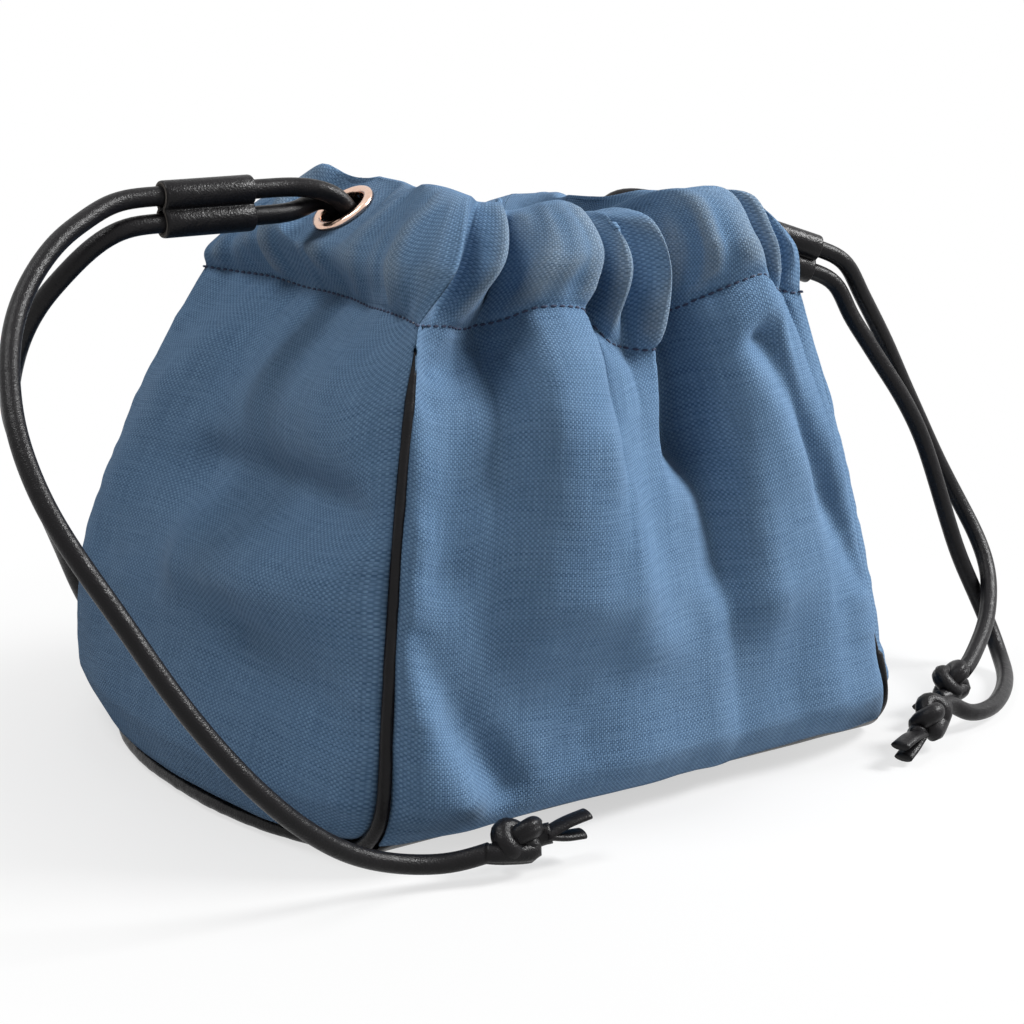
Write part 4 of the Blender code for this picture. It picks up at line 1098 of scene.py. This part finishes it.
canvas.bumped(thread * 0.6 + over * 0.25 + yarn * 0.5 + flecks * 0.3, 0.0003, 0.7)

COLUMNS = {"front_panel": 181, "right_end_panel": 121, "back_panel": 131, "left_end_panel": 131}
shapes = {}
for name, columns in COLUMNS.items():
    grid, across = panel_grid(name, columns)
    shapes[name] = dressed(name, grid, across)
normals = {name: facing_out(shape[0]) for name, shape in shapes.items()}
order = list(PANELS)
first_mitred = BODY_ROWS - 4
for name, following in zip(order, order[1:] + order[:1]):
    ours = normals[name][first_mitred:, -1]
    theirs = normals[following][first_mitred:, 0]
    spread = np.maximum(1 + (ours * theirs).sum(axis=1), 1.0)
    shared = (ours + theirs) / spread[:, None]
    normals[name][first_mitred:, -1] = shared
    normals[following][first_mitred:, 0] = shared
panels = {}
for name, (grid, u, v, wear_levels) in shapes.items():
    holes = punched(name, grid)
    panel = cloth_piece(name + "_cloth", grid, normals[name], u, v, wear_levels, holes, canvas)
    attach(panel, "pouch")
    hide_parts(name)
    panels[name] = panel

# The hem's seam. One row of navy thread goes round just under the cords' tunnel, through
# the panel and the hem folded in behind it, with a stitch every 2.7 mm.
thread_finish = Finish("navy thread")
twist = thread_finish.noise(thread_finish.place(), 2500.0, 1.0)
lint = thread_finish.noise(thread_finish.place(), 420.0, 1.0)
thread_finish.set(
    Base_Color=thread_finish.mixed(
        (lint * 9.0 - 6.2).clamped(),
        thread_finish.mixed(twist, (0.008, 0.014, 0.040, 1), (0.030, 0.045, 0.095, 1)),
        (0.42, 0.45, 0.50, 1),
    ),
    Roughness=0.75,
)
thread_finish.bumped(twist, 0.0002)

STITCHES = {"Pitch": 2.7 * MM, "Length": 2.0 * MM, "Thickness": 0.75 * MM}
STITCH_LIFT = 0.12 * MM
seam_tree = bpy.data.node_groups.new("running stitches", "GeometryNodeTree")
seam_tree.interface.new_socket("Line", in_out="INPUT", socket_type="NodeSocketGeometry")
stitch_inputs = {}
for label, value in STITCHES.items():
    socket = seam_tree.interface.new_socket(label, in_out="INPUT", socket_type="NodeSocketFloat")
    stitch_inputs[label] = (socket.identifier, value)
seam_tree.interface.new_socket("Stitches", in_out="OUTPUT", socket_type="NodeSocketGeometry")


def tree_node(kind, values=None, **settings):
    """A node of the stitch tree with its settings, then its sockets' values or links."""
    made = seam_tree.nodes.new(kind)
    for key, value in settings.items():
        setattr(made, key, value)
    for key, value in (values or {}).items():
        if isinstance(value, bpy.types.NodeSocket):
            seam_tree.links.new(value, made.inputs[key])
        else:
            made.inputs[key].default_value = value
    return made


given = tree_node("NodeGroupInput")
spaced = tree_node(
    "GeometryNodeResampleCurve",
    {"Curve": given.outputs["Line"], "Length": given.outputs["Pitch"]},
    mode="LENGTH",
)
bead = tree_node("GeometryNodeMeshUVSphere", {"Segments": 8, "Rings": 5, "Radius": 0.5})
thick = given.outputs["Thickness"]
size = tree_node("ShaderNodeCombineXYZ", {"X": given.outputs["Length"], "Y": thick, "Z": thick})
ahead = tree_node("GeometryNodeInputTangent")
turned = tree_node("FunctionNodeAlignRotationToVector", {"Vector": ahead.outputs[0]}, axis="X")
sewn = tree_node(
    "GeometryNodeInstanceOnPoints",
    {
        "Points": spaced.outputs[0],
        "Instance": bead.outputs["Mesh"],
        "Rotation": turned.outputs[0],
        "Scale": size.outputs[0],
    },
)
solid = tree_node("GeometryNodeRealizeInstances", {0: sewn.outputs[0]})
shaded = tree_node("GeometryNodeSetMaterial", {0: solid.outputs[0]})
shaded.inputs["Material"].default_value = thread_finish.material
tree_node("NodeGroupOutput", {0: shaded.outputs[0]})

for name, (grid, u, v, wear_levels) in shapes.items():
    seam = grid[BODY_ROWS] + normals[name][BODY_ROWS] * STITCH_LIFT
    curve = bpy.data.curves.new(name + "_seam", "CURVE")
    curve.dimensions = "3D"
    spline = curve.splines.new("POLY")
    spline.points.add(len(seam) - 1)
    for point, spot in zip(spline.points, seam):
        point.co = (*spot, 1)
    guide = placed(name + "_seam", curve)
    modifier = guide.modifiers.new("stitches", "NODES")
    modifier.node_group = seam_tree
    for identifier, value in stitch_inputs.values():
        modifier[identifier] = value
    bpy.context.view_layer.update()
    graph = bpy.context.evaluated_depsgraph_get()
    mesh = bpy.data.meshes.new_from_object(guide.evaluated_get(graph), depsgraph=graph)
    stitches = placed(name + "_stitches", mesh)
    bpy.data.objects.remove(guide)
    mesh.shade_smooth()
    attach(stitches, "pouch")

# The base and the piping. The base is one piece of black leather, turned up a few mm to the
# panels along its sides. Black leather piping is sewn in round both end panels, from the
# hem down one corner, under the end and up the other corner.
PIPING_STEP = 1.5 * MM


def seam_under(side, y, z):
    """How far out along X the end seam runs at a place on the pouch's underside."""
    h = np.array(z / STITCH_HEIGHT)
    front = corner(side, -1, h)
    back = corner(side, 1, h)
    low = front[1] + corner_round(-1)
    high = back[1] - corner_round(1)
    t = np.clip((2 * y - low - high) / (high - low), -1, 1)
    x = front[0] + (back[0] - front[0]) * (t + 1) / 2
    return x + side * END_BULGE * (1 - abs(t) ** 2.4)


top = BASE_SEAM_HEIGHT - 0.3 * MM
profile = []
for sy in (1, -1):
    radius = corner_round(sy)
    start = math.acos(1 - top / radius)
    flat = HALF_BASE[1] - radius
    turn = [
        (sy * (flat + radius * math.sin(a)), radius * (1 - math.cos(a)))
        for a in np.linspace(start, 0, 14)
    ]
    profile.append(turn)
middle = [(y, 0.0) for y in np.linspace(profile[0][-1][0], profile[1][-1][0], 60)[1:-1]]
rows = []
for y, z in profile[0] + middle + profile[1][::-1]:
    inset = PIPING_RADIUS + PIPING_SINK
    left = seam_under(-1, y, PIPING_LIFT + z) + inset
    right = seam_under(1, y, PIPING_LIFT + z) - inset
    rows.append([(x, y, z) for x in np.linspace(left, right, 60)])
base_grid = np.array(rows)
u = base_grid[..., 0]
v = base_grid[..., 1]
base_grid[..., 2] += 0.12 * MM * (1 + uneven(u, v, 14 * MM, 5)) * (base_grid[..., 2] > 0.001)
no_holes = np.zeros((len(base_grid) - 1, base_grid.shape[1] - 1), bool)
base = cloth_piece(
    "base_panel_skin", base_grid, facing_out(base_grid), u, v, 0 * u, no_holes, strap_leather
)
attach(base, "pouch")
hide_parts("base_panel")


def piping_line(side):
    """The piping's middle line, down one corner, under the end panel and up the other."""
    legs = []
    for sy in (-1, 1):
        radius = corner_round(sy)
        panel = "front_panel" if sy < 0 else "back_panel"
        stitch = gather_points(panel)[0][0]
        highest = PIPING_TOP * stitch[0 if side == sy else -1][2] / STITCH_HEIGHT
        leg = []
        for h in np.linspace(highest, (PIPING_LIFT + radius) / STITCH_HEIGHT, 8):
            x, y = corner(side, sy, h)
            leg.append((x - side * PIPING_SINK, y - sy * PIPING_SINK, h * STITCH_HEIGHT))
        for turn in (30, 60, 82):
            angle = math.radians(turn)
            z = PIPING_LIFT + radius * (1 - math.sin(angle))
            x, y = corner(side, sy, z / STITCH_HEIGHT)
            drawn_in = radius * (1 - math.cos(angle)) + PIPING_SINK * math.cos(angle)
            leg.append((x - side * PIPING_SINK, y - sy * drawn_in, z))
        legs.append(leg)
    across = np.linspace(legs[0][-1][1], legs[1][-1][1], 13)[1:-1]
    foot = PIPING_LIFT
    under = [(seam_under(side, y, foot) - side * PIPING_SINK, y, foot) for y in across]
    return evenly(legs[0] + under + legs[1][::-1], PIPING_STEP)


for word, side in (("left", -1), ("right", 1)):
    line = piping_line(side)

    def piping_outline(i, angles):
        full = float(piping_radius(line[i][2] / STITCH_HEIGHT))
        full *= min(1, 0.35 + 0.075 * min(i, len(line) - 1 - i))
        if side * line[i][1] < 0 and line[i][2] > 0.2 * STITCH_HEIGHT:
            full *= 0.5
        run = i * PIPING_STEP + 0 * angles
        ripple = uneven(run, angles * 2 * MM, 3 * MM, 21) * 0.05
        return full * (1.0 + ripple)

    piping = swept(word + "_piping_skin", line, piping_outline, strap_leather, up=(side, 0, 0))
    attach(piping, "pouch")
    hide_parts(word + "_piping")

# The eyelets. Each is a two-part rose gold eyelet: the flanged tube is pressed through the
# hem's outer ply and curled over a washer behind it.
rose_gold = Finish("rose gold")
haze = rose_gold.noise(rose_gold.place(), 700.0, 4.0, 0.65)
rose_gold.set(
    Base_Color=rose_gold.mixed(haze, (0.66, 0.43, 0.33, 1), (0.86, 0.62, 0.50, 1)),
    Metallic=1.0,
    Roughness=0.10 + 0.22 * haze,
)
rose_gold.bumped(haze, 0.00006)
EYELET_BORE = 7.0 * MM
EYELET_FLANGE = 10.0 * MM
EYELET_CROWN = 2.0 * MM
EYELET_EDGE = 0.5 * MM
FLANGE_BACK = 0.25 * MM
TUBE_REACH = 3.0 * MM
EYELET_SIDES = 72
for word, side in (("left", -1), ("right", 1)):
    centre, facing = eyelet_place(side)
    ring_middle = (EYELET_BORE + EYELET_FLANGE) / 2
    bead = [
        (
            ring_middle - math.cos(a) * (EYELET_FLANGE - EYELET_BORE) / 2,
            EYELET_EDGE + math.sin(a) ** 0.7 * (EYELET_CROWN - EYELET_EDGE),
        )
        for a in np.linspace(0, math.pi, 17)
    ]
    tube_wall = EYELET_BORE + 0.5 * MM
    section = [(EYELET_BORE, -TUBE_REACH), *bead, (EYELET_FLANGE - 0.2 * MM, FLANGE_BACK)]
    section += [(tube_wall, FLANGE_BACK), (tube_wall, -TUBE_REACH)]
    corners = []
    for radius, height in section:
        for angle in np.linspace(0, 2 * math.pi, EYELET_SIDES, endpoint=False):
            corners.append((radius * math.cos(angle), radius * math.sin(angle), height))
    quads = tube_faces(len(section), EYELET_SIDES, closed=True)
    mesh = bpy.data.meshes.new(word + "_eyelet_skin")
    mesh.from_pydata(corners, [], [(a, d, c, b) for a, b, c, d in quads])
    turn = facing.to_track_quat("Z", "Y").to_matrix().to_4x4()
    turn.translation = centre
    mesh.transform(turn)
    mesh.materials.append(rose_gold.material)
    mesh.shade_smooth()
    eyelet = placed(word + "_eyelet_skin", mesh)
    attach(eyelet, "pouch")
    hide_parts(word + "_eyelet")
    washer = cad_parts[word + "_eyelet_washer"]
    washer.data.materials.clear()
    washer.data.materials.append(rose_gold.material)
